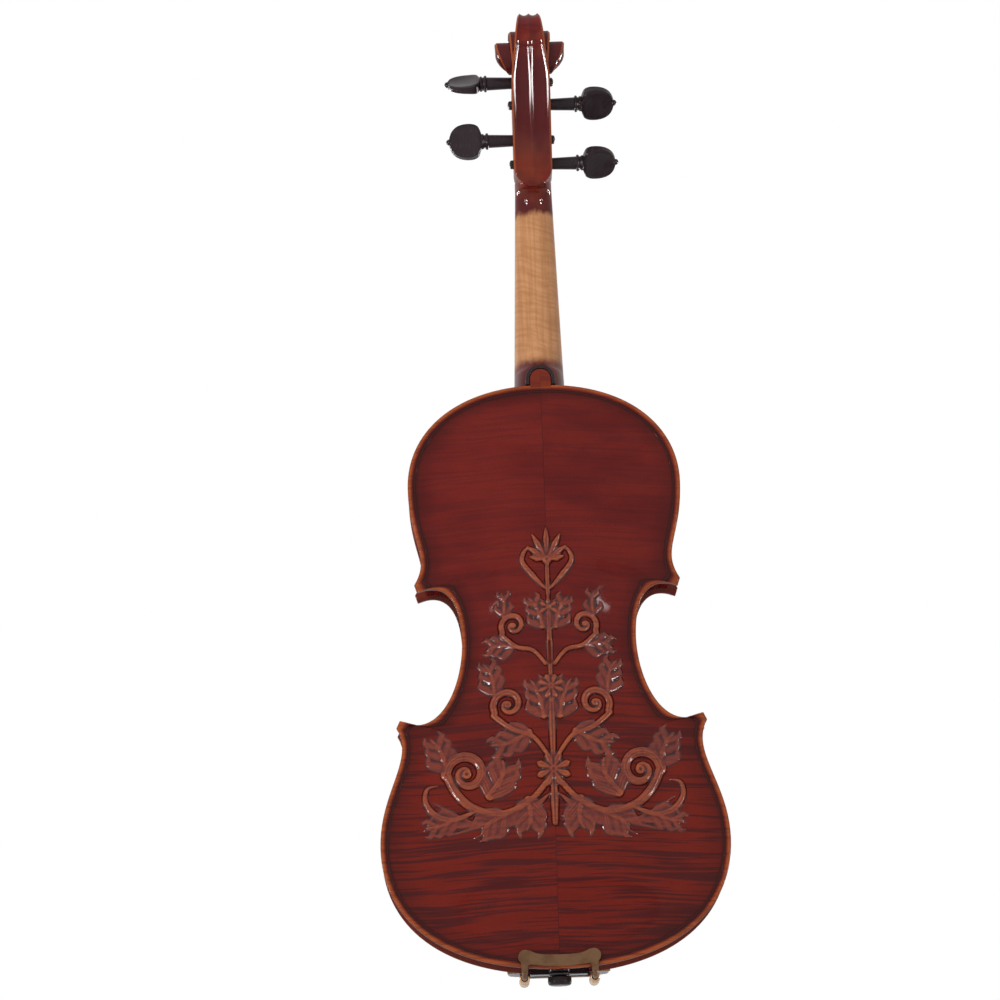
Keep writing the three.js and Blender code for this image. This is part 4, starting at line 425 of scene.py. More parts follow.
def skin(rings, close_ends=True):
    """Vertices and quads over rings of equal count, with a flat end on the first and the last."""
    count = len(rings[0])
    vertices = np.concatenate([np.asarray(ring, dtype=float) for ring in rings])
    faces = []
    for r in range(len(rings) - 1):
        for i in range(count):
            a, b = r * count + i, r * count + (i + 1) % count
            faces.append((a, b, b + count, a + count))
    if close_ends:
        last = (len(rings) - 1) * count
        faces.append(tuple(range(count))[::-1])
        faces.append(tuple(range(last, last + count)))
    return vertices, faces


def merged(*shells):
    """Several shells as one list of vertices and faces."""
    vertices, faces, start = [], [], 0
    for points, polygons in shells:
        vertices.append(points)
        faces += [tuple(i + start for i in polygon) for polygon in polygons]
        start += len(points)
    return np.concatenate(vertices), faces


def new_object(name, shell, finish=None, values=None, smooth=True):
    """A mesh object from a shell in the layout's millimetres, with values kept at its points."""
    vertices, faces = shell
    mesh = bpy.data.meshes.new(name)
    mesh.from_pydata(place(vertices).tolist(), [], faces)
    for key, numbers in (values or {}).items():
        mesh.attributes.new(key, "FLOAT", "POINT").data.foreach_set("value", np.asarray(numbers, dtype=float))
    build = bmesh.new()
    build.from_mesh(mesh)
    bmesh.ops.recalc_face_normals(build, faces=build.faces)
    for face in build.faces:
        face.smooth = smooth
    build.to_mesh(mesh)
    build.free()
    made = bpy.data.objects.new(name, mesh)
    bpy.context.scene.collection.objects.link(made)
    if finish:
        mesh.materials.append(finish_of(finish))
    return made


def settle(piece, body, slot, *nodes):
    """Lets a piece ride on a body and hides the nodes that it stands for; the slot is not used."""
    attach(piece, body)
    if nodes:
        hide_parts(*nodes)
    return piece


def with_modifier(piece, kind, **settings):
    made = piece.modifiers.new(kind.title(), kind)
    for key, value in settings.items():
        setattr(made, key, value)
    return made


def applied(piece):
    """The piece with its modifiers made part of its mesh."""
    graph = bpy.context.evaluated_depsgraph_get()
    old = piece.data
    mesh = bpy.data.meshes.new_from_object(piece.evaluated_get(graph))
    piece.modifiers.clear()
    piece.data = mesh
    bpy.data.meshes.remove(old)
    return piece


def carved(piece, operation, *cutters):
    """Joins or cuts closed pieces and throws the cutters away."""
    for cutter in cutters:
        with_modifier(piece, "BOOLEAN", operation=operation, object=cutter, solver="EXACT")
    applied(piece)
    for cutter in cutters:
        bpy.data.meshes.remove(cutter.data)
    return piece


def soften(piece, width, angle=35.0, segments=2):
    """A small bevel on sharp edges and even shading beside it."""
    with_modifier(piece, "BEVEL", width=width * MM, segments=segments, limit_method="ANGLE",
                  angle_limit=math.radians(angle), harden_normals=False)
    with_modifier(piece, "WEIGHTED_NORMAL", keep_sharp=True, weight=60)
    return piece


def smooth_table(table, at):
    """A smooth curve through evenly spaced rows of numbers, read at places counted in rows."""
    rows = np.asarray(table, dtype=float)
    at = np.clip(np.atleast_1d(at), 0, len(rows) - 1)
    low = np.minimum(at.astype(int), len(rows) - 2)
    part = (at - low).reshape(-1, *([1] * (rows.ndim - 1)))
    row = lambda k: rows[np.clip(low + k, 0, len(rows) - 1)]
    a, b, c, d = row(-1), row(0), row(1), row(2)
    return 0.5 * (2 * b + (c - a) * part + (2 * a - 5 * b + 4 * c - d) * part ** 2
                  + (3 * b - a - 3 * c + d) * part ** 3)


def turned(profile, sides, centre=(0.0, 0.0, 0.0), axis="y"):
    """A closed turned shell: profile rows are radius and distance along the axis; radius 0 ends it."""
    rings = []
    for radius, along in profile:
        angles = np.arange(sides) * TURN / sides
        ring = np.stack([radius * np.cos(angles), np.full(sides, along), radius * np.sin(angles)], axis=1)
        rings.append(ring[:, {"x": [1, 0, 2], "y": [0, 1, 2], "z": [0, 2, 1]}[axis]] + np.asarray(centre))
    return skin(rings)


def tube(points, radius, sides):
    """A round tube along points, without twist."""
    points = np.asarray(points, dtype=float)
    along = np.gradient(points, axis=0)
    along /= np.linalg.norm(along, axis=1)[:, None]
    side = np.cross(along[0], (0.3, 0.2, 1.0) if abs(along[0][2]) < 0.9 else (1.0, 0.2, 0.1))
    rings = []
    for point, way in zip(points, along):
        side = side - way * np.dot(side, way)
        side /= np.linalg.norm(side)
        up = np.cross(way, side)
        angles = np.arange(sides)[:, None] * TURN / sides
        rings.append(point + radius * (side * np.cos(angles) + up * np.sin(angles)))
    return skin(rings)


def boxed(low, high):
    (x0, y0, z0), (x1, y1, z1) = low, high
    ring = lambda z: [(x0, y0, z), (x1, y0, z), (x1, y1, z), (x0, y1, z)]
    return skin([ring(z0), ring(z1)])


def prism(outline_xz, from_y, to_y):
    """A flat outline in X and Z, given thickness along Y."""
    return skin([[(x, y, z) for x, z in outline_xz] for y in (from_y, to_y)])


def bar_along_x(outline_yz, half):
    return skin([[(x, y, z) for y, z in outline_yz] for x in (-half, half)])


# ---- Body outline and arching --------------------------------------------------------------------

LENGTH = 356.0
HEIGHTS = {"upper": 293.7, "upper_corner": 234.0, "waist": 198.5, "lower_corner": 147.0, "lower": 75.0}
HALVES = {"upper": 82.75, "waist": 52.5, "lower": 104.8, "upper_corner": 80.4, "lower_corner": 93.4}
SPINES = {"upper": 306.0, "upper_corner": 262.0, "waist": 198.5, "lower_corner": 122.0, "lower": 66.0}
RIB_FROM, RIB_TO = 4.3, 34.7
BELLY_IN, BELLY_OUT = 35.0, 39.0
BACK_ARCH, BELLY_ARCH = 15.5, 16.0
EDGE, CHANNEL_INSET, CHANNEL_DEPTH, PLATE_THICK, BORDER = 4.0, 7.0, 0.9, 3.4, 9.0
DENSE = {"top": 30, "side": 20, "waist_top": 22, "waist_end": 22, "lower_side": 20, "bottom": 32}


def outline_stretches():
    """Handles of the six smooth stretches of the right half, from the top centre to the bottom centre."""
    hx, hz = HALVES, HEIGHTS
    tip = (hx["upper_corner"], hz["upper_corner"])
    tip_in = (tip[0] - 1.6, tip[1] - 4.7)
    toe = (hx["lower_corner"], hz["lower_corner"])
    toe_in = (toe[0] - 2.1, toe[1] + 4.4)
    crown, side = LENGTH - hz["upper"], hz["upper"] - tip[1]
    rise, drop = tip_in[1] - hz["waist"], hz["waist"] - toe_in[1]
    low = toe[1] - hz["lower"]
    return {
        "top": [(0, LENGTH), (0.64 * hx["upper"], LENGTH), (hx["upper"], hz["upper"] + 0.556 * crown),
                (hx["upper"], hz["upper"])],
        "side": [(hx["upper"], hz["upper"]), (hx["upper"], hz["upper"] - 0.591 * side),
                 (tip[0] - 0.303 * 0.617 * side, tip[1] + 0.303 * side), tip],
        "waist_top": [tip_in, (tip_in[0] - 0.817 * (tip_in[0] - hx["waist"]), tip_in[1] + 0.279 * rise),
                      (hx["waist"], hz["waist"] + 0.569 * rise), (hx["waist"], hz["waist"])],
        "waist_end": [(hx["waist"], hz["waist"]), (hx["waist"], hz["waist"] - 0.542 * drop),
                      (toe_in[0] - 0.63 * (toe_in[0] - hx["waist"]), toe_in[1] - 0.273 * drop), toe_in],
        "lower_side": [toe, (toe[0] - 0.269 * 0.577 * low, toe[1] - 0.269 * low),
                       (hx["lower"], hz["lower"] + 0.47 * low), (hx["lower"], hz["lower"])],
        "bottom": [(hx["lower"], hz["lower"]), (hx["lower"], (1 - 0.637) * hz["lower"]),
                   (0.609 * hx["lower"], 0), (0, 0)],
    }


STRETCHES = outline_stretches()


def on_stretch(name, shares, inset=0.0):
    """Points of a stretch at an inset from the edge."""
    a, b, c, d = (np.array(p, dtype=float) for p in STRETCHES[name])
    t = np.asarray(shares, dtype=float)[:, None]
    point = a * (1 - t) ** 3 + 3 * b * t * (1 - t) ** 2 + 3 * c * t ** 2 * (1 - t) + d * t ** 3
    way = 3 * ((b - a) * (1 - t) ** 2 + 2 * (c - b) * t * (1 - t) + (d - c) * t ** 2)
    way /= np.linalg.norm(way, axis=1)[:, None]
    return point + inset * np.stack([way[:, 1], -way[:, 0]], axis=1), way


def stations():
    """Columns x, z, inward x, inward z and the height where each ray meets the centre line."""
    s = SPINES
    mid = lambda a, b, t: a + (b - a) * t
    spines = {
        "top": (s["upper"], mid(s["upper"], s["upper_corner"], 0.5)),
        "side": (mid(s["upper"], s["upper_corner"], 0.5), s["upper_corner"]),
        "waist_top": (mid(s["upper_corner"], s["waist"], 1 / 16), s["waist"]),
        "waist_end": (s["waist"], mid(s["lower_corner"], s["waist"], 1 / 16)),
        "lower_side": (s["lower_corner"], mid(s["lower"], s["lower_corner"], 0.5)),
        "bottom": (mid(s["lower"], s["lower_corner"], 0.5), s["lower"]),
    }
    rows = []
    for name, steps in DENSE.items():
        t = np.linspace(0, 1, steps + 1)
        t = t if name in ("top", "waist_top", "lower_side") else t[1:]
        point, way = on_stretch(name, t)
        low, high = spines[name]
        rows.append(np.column_stack([point, way[:, 1], -way[:, 0], low + (high - low) * t]))
    right = np.concatenate(rows)
    left = right[1:-1][::-1] * (-1, 1, -1, 1, 1)
    return np.concatenate([right, left])


RIM = stations()


def along_ray(inset, part=0.0):
    """Every station's point at a distance in from the edge, or at a share of what is left of its ray."""
    x, z, in_x, in_z, spine = RIM.T
    ray = np.stack([-x, spine - z], axis=1)
    far = np.linalg.norm(ray, axis=1)
    facing = (ray[:, 0] * in_x + ray[:, 1] * in_z) / far
    start = np.minimum(inset / np.maximum(facing, 0.5), far / 2)
    distance = start + (far - start) * part
    return np.stack([x, z], axis=1) + ray / far[:, None] * distance[:, None]


def climb(part):
    return (1 - np.cos(np.pi * part ** 0.78)) / 2


def arch_height(part, arch):
    crest = (arch - EDGE) * (1 - 0.14 * ((RIM[:, 4] - 186.0) / 124.0) ** 2)
    return -CHANNEL_DEPTH + (crest + CHANNEL_DEPTH) * climb(part)


EDGE_PROFILE = [  # inset, height, how worn, how deep the varnish lies
    (0.5, -4.0, 0.3, 0.2), (0.12, -3.8, 0.3, 0.3), (0.0, -3.4, 0.25, 0.4), (0.0, -1.3, 0.35, 0.3),
    (0.15, -0.7, 0.75, 0.0), (0.5, -0.25, 1.0, 0.0), (1.05, -0.02, 1.0, 0.0), (1.7, 0.0, 0.75, 0.0),
    (2.3, -0.12, 0.3, 0.1), (2.9, -0.3, 0.0, 0.4), (3.45, -0.46, 0.0, 0.75), (3.5, -0.72, 0.0, 1.0),
    (4.9, -0.72, 0.0, 1.0), (4.95, -0.6, 0.0, 0.8), (5.9, -0.84, 0.0, 0.6), (7.0, -0.9, 0.0, 0.45),
]


def plate_shell(arch, level):
    """An arched plate with a rounded edge, the inlay's groove, the channel and a hollowed inside."""
    rings, worn, deep = [], [], []

    def ring(flat, height, w, d):
        heights = np.broadcast_to(height, len(RIM))
        rings.append(np.stack([flat[:, 0], level(heights), flat[:, 1]], axis=1))
        worn.append(np.full(len(RIM), w))
        deep.append(np.full(len(RIM), d))

    for part in (1.0, 0.8, 0.6, 0.42, 0.27, 0.14, 0.05, 0.0):
        inner = np.maximum(arch_height(part, arch) - PLATE_THICK, -EDGE)
        ring(along_ray(BORDER, part), inner, 0.0, 0.0)
    for inset, height, w, d in EDGE_PROFILE:
        ring(along_ray(inset), height, w, d)
    for part in np.concatenate([np.linspace(0.02, 0.1, 4), np.linspace(0.14, 1.0, 26)]):
        fade = max(0.0, 1 - part / 0.12)
        ring(along_ray(CHANNEL_INSET, part), arch_height(part, arch), 0.0, 0.45 * fade)
    vertices, faces = skin(rings, close_ends=False)
    return (vertices, faces), {"worn": np.concatenate(worn), "deep": np.concatenate(deep)}


def inlay_shell(level):
    rings = []
    for inset, height in ((3.52, -1.9), (3.52, -0.56), (3.7, -0.5), (4.2, -0.48), (4.7, -0.54), (4.86, -0.62),
                          (4.86, -1.9)):
        flat = along_ray(inset)
        rings.append(np.stack([flat[:, 0], level(np.full(len(RIM), height)), flat[:, 1]], axis=1))
    rings.append(rings[0])
    return skin(rings, close_ends=False)


def back_level(height):
    return -height


def belly_level(height):
    return BELLY_OUT + height


BUTTON_Z, BUTTON_R = 359.5, 9.0


def half_round(outer, inner, leg_z, level_from, level_to, bevel):
    """The button's half-round outline, or the ring round it, with its outside edges rounded."""
    angles = np.linspace(0, math.pi, 33)

    def ring(grow, y):
        out, hole = outer + grow, inner - grow
        points = [(out, leg_z)] + [(out * math.cos(a), BUTTON_Z + out * math.sin(a)) for a in angles]
        points.append((-out, leg_z))
        if inner > 0:
            points.append((-hole, leg_z))
            points += [(hole * math.cos(a), BUTTON_Z + hole * math.sin(a)) for a in angles[::-1]]
            points.append((hole, leg_z))
        return [(x, y, z) for x, z in points]

    step = bevel if level_to > level_from else -bevel
    rows = [(-bevel * 0.6, level_from), (-bevel * 0.15, level_from + step * 0.25), (0.0, level_from + step),
            (0.0, level_to)]
    return skin([ring(grow, y) for grow, y in rows])


# ---- Neck, pegbox and scroll ---------------------------------------------------------------------

SLOPE = math.radians(6.0)
NUT_Z = 486.0
NUT_Y = BELLY_OUT + 6.0 - 130.0 * math.tan(SLOPE)
CHIN_Y, CHIN_Z = 8.5, 484.0
BOX_HALF = 11.9
RISE = 26.2
EYE_HALF = 21.6
RADIUS_ROWS = [0.16, 0.706, 1, 0.82, 0.66, 0.59, 0.555, 0.51, 0.44, 0.35, 0.294, 0.272, 0.26]  # from a quarter before
WIDTH_ROWS = [0.445, 0.29, 0.28, 0.44, 0.555, 0.6, 0.62, 0.68, 0.94, 1, 0.95, 0.825]
PEGS = {  # name: height above the nut, side, turn in degrees, distance of the string from the middle
    "g": (15.0, 1, 55.0, 5.6), "e": (30.0, -1, 8.0, 5.6), "d": (52.0, 1, 53.0, 5.2), "a": (66.0, -1, 53.0, 5.2),
}


def neck_top(z):
    return NUT_Y + (NUT_Z - z) * math.tan(SLOPE)


def board_half(z):
    return (22.6 + (40.6 - 22.6) * (NUT_Z - z) / 270.0) / 2


def box_front(z):
    return NUT_Y - 0.105 * (z - NUT_Z)


def box_back(z):
    part = (z - CHIN_Z) / (EYE_Z - CHIN_Z)
    return CHIN_Y + (EYE_Y - RISE * 0.706 - CHIN_Y) * part + 1.6 * math.sin(part * math.pi)


def box_half(z):
    """Half the pegbox's width: even up to the last peg, then drawn in towards the scroll."""
    part = min(max((z - (EYE_Z - 20.0)) / 20.0, 0.0), 1.0)
    return BOX_HALF + (WIDTH_ROWS[0] * EYE_HALF - BOX_HALF) * part ** 1.5


def peg_axis(name):
    z = NUT_Z + PEGS[name][0]
    return box_front(z) - 9.2, z


def neck_shell():
    """Heel, handle and throat as one loft across Z."""
    rows = [(z, BUTTON_R, RIB_FROM) for z in (346.0, 350.0, 354.0, 358.0)]
    rows += [(BUTTON_Z + BUTTON_R * math.sin(a), BUTTON_R * math.cos(a), RIB_FROM)
             for a in np.linspace(0, math.pi / 2, 14)]
    cap_z = BUTTON_Z + BUTTON_R
    handle_y = neck_top(400.0) - 15.6
    rows += [(cap_z + (400.0 - cap_z) * (1 - math.cos(a)), 0.0, RIB_FROM + (handle_y - RIB_FROM) * math.sin(a))
             for a in np.linspace(0, math.pi / 2, 18)[1:]]
    start_y = neck_top(474.0) - 13.6
    rows += [(z, 0.0, handle_y + (start_y - handle_y) * (z - 400.0) / 74.0) for z in np.linspace(404, 474, 15)]
    rows += [(474.0 + (CHIN_Z - 474.0) * math.sin(a), 0.0, start_y + (CHIN_Y - start_y) * (1 - math.cos(a)))
             for a in np.linspace(0, math.pi / 2, 14)[1:]]
    rows.append((CHIN_Z + 6.5, 0.0, CHIN_Y))
    rings, angles = [], np.linspace(0, math.pi, 41)
    for z, flat, back in rows:
        half, top = board_half(z), neck_top(z)
        cosines = np.cos(angles)
        across = (half - flat) * cosines + flat * np.sign(cosines) * np.abs(cosines) ** 0.35
        down = top - (top - back) * np.sin(angles) ** 0.85
        rings.append(np.column_stack([across, down, np.full(len(angles), z)]))
    return skin(rings)


def fluted(part, flute, chamfer, half):
    """How far a back face lies in at a share across it: two flutes, a ridge between and bevelled edges."""
    flat = 1 - chamfer / half
    if part > flat:
        return chamfer * (part - flat) / (1 - flat)
    return flute * 4 * (part / flat) * (1 - part / flat)


def pegbox_shell(sizes):
    """Sections across Z whose back has two flutes; the front sinks to the floor under the scroll."""
    chamfer, flute = sizes.chamfer / MM, sizes.scroll_flute / MM
    rings, worn = [], []
    for part in np.concatenate([[0.0], np.linspace(0.02, 1.0, 60)]):
        z = CHIN_Z + (EYE_Z - CHIN_Z) * part
        back, half = box_back(z), box_half(z)
        fade = np.interp(part, [0.78, 0.9, 1.0], [0.0, 0.34, 0.9])
        front = box_front(z) + (back + 7.0 - box_front(z)) * fade
        deep = flute * min(1.0, part / 0.1)
        flat = 1 - chamfer / half
        right = [1.0, (1 + flat) / 2, flat] + list(np.linspace(flat, 0, 18)[1:])
        across = right + [-s for s in right[:-1][::-1]]
        ring = [(-half + 0.5, front, z), (half - 0.5, front, z), (half, front - 0.5, z)]
        ring += [(s * half, back + fluted(abs(s), deep, chamfer, half), z) for s in across]
        ring.append((-half, front - 0.5, z))
        rings.append(ring)
        worn += [0.3] * 3 + [1.0 if abs(s) >= flat else 0.0 for s in across] + [0.3]
    return skin(rings), worn


def volute_shell(sizes):
    """The scroll: a fluted band that climbs over the top and winds in to the eye on both sides."""
    chamfer, flute = sizes.chamfer / MM, sizes.scroll_flute / MM
    per_turn = 96
    quarter = per_turn // 4
    steps = (len(WIDTH_ROWS) - 1) * quarter
    at = np.arange(steps + 1) / quarter
    radius = RISE * np.minimum(smooth_table(RADIUS_ROWS, at + 1), 1.0)
    half = EYE_HALF * np.minimum(smooth_table(WIDTH_ROWS, at), 1.0)
    vertices, faces, worn = [], [], []

    def point(step, r, x, thin=0.0):
        angle = step * TURN / per_turn
        vertices.append((x, EYE_Y - r * math.cos(angle), EYE_Z + r * math.sin(angle)))
        worn.append(thin)
        return len(vertices) - 1

    def quads(first, second):
        for i in range(1, min(len(first), len(second))):
            faces.append((first[i - 1], second[i - 1], second[i], first[i]))

    inner = range(steps - per_turn + 1)
    bevel = [min(chamfer, (radius[i] - (radius[i + per_turn] if i <= steps - per_turn else 0)) * 0.3)
             for i in range(steps + 1)]
    last = steps - per_turn
    flanks = []
    for sign in (1, -1):
        rim = [point(i, radius[i], sign * (half[i] - bevel[i]), 1.0) for i in range(steps + 1)]
        lip = [point(i, radius[i] - bevel[i], sign * half[i], 1.0) for i in range(steps + 1)]
        quads(rim, lip)
        dishes = []
        for part in (0.2, 0.4, 0.6, 0.8, 0.93):
            sunk = 0.4 * part + 0.9 * math.sin(math.pi * min(part, 0.85))
            dishes.append([point(i, radius[i] - bevel[i] + (radius[i + per_turn] - radius[i] + bevel[i]) * part,
                                 sign * (half[i] - sunk)) for i in inner])
        dishes.append([point(i, radius[i + per_turn], sign * (half[i] - 0.7)) for i in inner])
        for first, second in zip([lip] + dishes, dishes):
            quads(first, second)
        quads(dishes[-1], [rim[i + per_turn] for i in inner])
        crowns = []
        for part in (0.15, 0.35, 0.6, 0.85):
            rise = 1 - (1 - part) ** 2
            crowns.append([point(i, (radius[i] - bevel[i]) * (1 - part),
                                 sign * (half[i] + (EYE_HALF * 0.985 - half[i]) * rise))
                           for i in range(last, steps + 1)])
        for first, second in zip([lip[last:]] + crowns, crowns):
            quads(first, second)
        centre = point(0, 0.0, sign * EYE_HALF * 0.985)
        faces.extend((crowns[-1][i - 1], crowns[-1][i], centre) for i in range(1, per_turn + 1))
        faces.append(tuple([lip[last]] + [row[-1] for row in dishes] + [rim[steps], lip[steps]]
                           + [row[-1] for row in crowns] + [centre] + [row[0] for row in crowns[::-1]]))
        flanks.append((rim, lip, dishes))
    lanes = []
    for s in np.linspace(1, -1, 33)[1:-1]:
        deep = flute * 4 * abs(s) * (1 - abs(s))
        lanes.append([point(i, radius[i] - deep, s * (half[i] - bevel[i])) for i in range(per_turn + 1)])
    (right, right_lip, right_dishes), (left, left_lip, left_dishes) = flanks
    rows = [right[:per_turn + 1]] + lanes + [left[:per_turn + 1]]
    for first, second in zip(rows, rows[1:]):
        quads(first, second)
    faces.append(tuple([row[0] for row in rows] + [left_lip[0]] + [row[0] for row in left_dishes]
                       + [row[-1] for row in rows[::-1]] + [row[0] for row in right_dishes[::-1]] + [right_lip[0]]))
    return (np.array(vertices), faces), worn


def chin_round():
    angles = np.linspace(math.pi, TURN, 49)
    points = [(BOX_HALF, EYE_Z + RISE + 5), (-BOX_HALF, EYE_Z + RISE + 5)]
    points += [(BOX_HALF * math.cos(a), CHIN_Z + BOX_HALF + BOX_HALF * math.sin(a)) for a in angles]
    return prism(points, -50.0, 170.0)


def cavity_shell():
    start, end, half = NUT_Z + 6.5, 559.0, BOX_HALF - 4.4
    floor = [(z, box_back(z) + 7.0) for z in np.linspace(start, end - 7.0, 16)]
    side = [(start, box_front(start) + 2.0)] + floor + [(end, box_front(end) + 2.0)]
    return bar_along_x([(y, z) for z, y in side], half)


# ---- Fittings ------------------------------------------------------------------------------------

TAIL_TILT = math.radians(7.5)
TAIL_LENGTH = 106.0
STRING_SET = {"g": (0.4, 1.0), "d": (0.36, 1 / 3), "a": (0.34, -1 / 3), "e": (0.25, -1.0)}
NUT_HALF = 11.3
BRIDGE_Z = 160.997
BRIDGE_HALF, BRIDGE_RISE = 20.75, 33.0
GLUE = 0.3
NUT_SPREAD, BRIDGE_SPREAD, TAIL_SPREAD = 8.0, 16.8, 13.4  # from the middle to an outer string
FRET, HOLES, TUNER = 101.0, 93.0, 92.0  # places along the tailpiece


def on_neck(points):
    """Points laid out on the sloping top of the neck from the nut, as layout points."""
    x, y, z = np.asarray(points, dtype=float).T
    c, s = math.cos(SLOPE), math.sin(SLOPE)
    return np.column_stack([x, NUT_Y + y * c - z * s, NUT_Z + y * s + z * c])


def on_tail(points):
    """Points laid out along the tailpiece's underside, as layout points."""
    x, y, z = np.atleast_2d(np.asarray(points, dtype=float)).T
    c, s = math.cos(TAIL_TILT), math.sin(TAIL_TILT)
    return np.column_stack([x, 49.2 + y * c + z * s, 6.0 - y * s + z * c])


def crown(x, half, radius):
    return np.sqrt(radius ** 2 - np.asarray(x) ** 2) - math.sqrt(radius ** 2 - half ** 2)


def shank_radius(x):
    return 4.1 - (27.0 - x) / 30


def peg_shell():
    """One peg along +X: tapered shank, double collar, heart-shaped head with dished faces, ball tip."""
    far_x = -BOX_HALF - 1.4
    far = shank_radius(far_x)
    profile = [(0.0, far_x - 1.1), (far * 0.35, far_x - 1.06), (far * 0.7, far_x - 0.8), (far * 0.92, far_x - 0.4),
               (far, far_x), (4.1, 26.6), (4.1, 27.0)]
    collar = [(0.0, 0.86), (0.04, 0.96), (0.1, 1.0), (0.2, 1.0), (0.3, 0.97), (0.36, 0.86), (0.42, 0.79), (0.52, 0.79),
              (0.58, 0.86), (0.66, 0.92), (0.76, 0.93), (0.86, 0.88), (0.94, 0.7), (1.0, 0.6)]
    profile += [(wide * 5.2, 27.0 + part * 5.0) for part, wide in collar] + [(0.0, 32.0)]
    rows = [(0, 0.3, 1), (0.05, 0.58, 1.15), (0.11, 0.8, 1.25), (0.22, 0.94, 1.15), (0.36, 1, 1), (0.54, 0.99, 0.9),
            (0.72, 0.9, 0.8), (0.86, 0.71, 0.74), (0.95, 0.46, 0.66), (1, 0.16, 0.5)]
    rings = []
    for part, wide, thick in smooth_table(rows, np.linspace(0, 9, 46)):
        half, rim = wide * 11.4, thick * 2.6
        middle = max(3.5 * thick + (rim - 1.2 - 3.5 * thick) * max(part, 0.0) ** (1 / 3), 1.2)
        across = np.linspace(1, -1, 17)
        bow = lambda s: middle + (rim - middle) * min(1.0, abs(s) / 0.86) ** 2.2
        top = [(bow(s) * (1 if abs(s) < 0.95 else 0.8), s * half) for s in across]
        x = 31.0 + part * 20.4
        rings.append([(x, y, z) for y, z in top] + [(x, -y, z) for y, z in top[::-1]])
    ball = [(1.9 * math.sin(a), -1.9 * math.cos(a)) for a in np.linspace(0, math.pi, 13)]
    tip = turned([(max(r, 0.0), 51.4 + x) for r, x in ball], 20, axis="x")
    return merged(turned(profile, 40, axis="x"), skin(rings), tip)


def turn_about_x(points, angle):
    x, y, z = np.asarray(points, dtype=float).T
    c, s = math.cos(angle), math.sin(angle)
    return np.column_stack([x, y * c - z * s, y * s + z * c])


def placed_peg(name):
    """The peg's shell at its place in the pegbox."""
    _, side, degrees, _ = PEGS[name]
    y, z = peg_axis(name)
    points, faces = peg_shell()
    points = turn_about_x(points, math.radians(degrees))
    if side < 0:
        points = points * (-1, -1, 1)
    return points + (0.0, y, z), faces


def board_shell():
    """Fingerboard: a crowned top, square edges with a small round, and a hollow under its free end."""
    stations_down = [0.0, 0.4, 30, 60, 90, 120, 130, 132, 135, 150, 180, 210, 240, 262, 268.6, 269.5, 270.0]
    rings = []
    for down in stations_down:
        half = board_half(NUT_Z - down)
        end = 0.5 if down in (0.0, 270.0) else 0.15 if down == 269.5 else 0.0
        hollow = min(1.0, max(0.0, (down - 130.0) / 5.0))
        top = []
        for s in np.linspace(1, -1, 25):
            x = s * (half - end)
            corner = 0.25 if abs(s) == 1 else 0.0
            top.append((x, GLUE + 5.0 + float(crown(x, half, 42.0)) - end * 0.6 - corner, -down))
        under = [(s * (half - end), GLUE + end * 0.4 + hollow * 3.0 * max(0.0, 1 - (abs(s) / 0.82) ** 4), -down)
                 for s in np.linspace(-1, 1, 25)]
        rings.append(top + under)
    points, faces = skin(rings)
    return on_neck(points), faces


def board_top(x):
    """The height of the fingerboard's crowned top at the nut."""
    return GLUE + 5.0 + float(crown(x, NUT_HALF, 42.0))


def nut_shell():
    rings = []
    for z, lift in ((0.3, 0.4), (0.5, 0.7), (2.2, 0.75), (3.6, 0.3), (4.8, -0.4), (5.4, -1.4), (5.7, -2.6)):
        top = [(s * NUT_HALF, board_top(s * NUT_HALF) + lift, z) for s in np.linspace(1, -1, 21)]
        rings.append(top + [(-NUT_HALF, GLUE, z), (NUT_HALF, GLUE, z)])
    points, faces = skin(rings)
    return on_neck(points), faces


def tail_half(z):
    return (22.0 + (41.0 - 22.0) * z / TAIL_LENGTH) / 2


def tail_top(x, z):
    return 2.5 + float(crown(x, tail_half(z), 54.0))


def tail_shell():
    """Tailpiece: crowned, waisted at its tail end, with the fret across its head."""
    rings = []
    for part, narrow, lower in ((0.0, 0.72, 1.1), (0.004, 0.8, 0.4), (0.015, 0.93, 0.1), (0.04, 1.0, 0.0),
                                (0.25, 0.965, 0.0), (0.5, 0.95, 0.0), (0.75, 0.965, 0.0), (0.93, 1.0, 0.0),
                                (0.975, 1.0, 0.0), (0.993, 0.97, 0.15), (1.0, 0.9, 0.7)):
        z = part * TAIL_LENGTH
        half = tail_half(z) * narrow
        top = [(s * half, max(0.9, tail_top(s * half * 0.995, z) - lower), z) for s in np.linspace(1, -1, 25)]
        rings.append(top + [(-half * 0.97, 0.25 + lower * 0.3, z), (half * 0.97, 0.25 + lower * 0.3, z)])
    fret = []
    half = tail_half(FRET) * 0.9
    for dz, rise in ((-1.0, 0.0), (-0.75, 0.75), (-0.3, 1.1), (0.3, 1.1), (0.75, 0.75), (1.0, 0.0)):
        top = [(s * half, tail_top(s * half, FRET) + rise, FRET + dz) for s in np.linspace(1, -1, 25)]
        fret.append(top + [(-half, 1.3, FRET + dz), (half, 1.3, FRET + dz)])
    points, faces = merged(skin(rings), skin(fret))
    return on_tail(points), faces


def plate_height(x, z):
    """The belly's crest level at a place near the centre line, read along the ray that covers it."""
    best = 0.0
    for part in np.linspace(0, 1, 60):
        flat = along_ray(CHANNEL_INSET, part)
        near = np.hypot(flat[:, 0] - x, flat[:, 1] - z)
        k = int(np.argmin(near))
        if near[k] < 3.0:
            best = max(best, float(arch_height(part, BELLY_ARCH)[k]))
    return BELLY_OUT + best


FOOT_Y = plate_height(0.0, BRIDGE_Z) + GLUE


def bridge_line(x):
    """The height of the bridge's curved top."""
    return FOOT_Y + BRIDGE_RISE + float(crown(x, 0.0, 42.0))


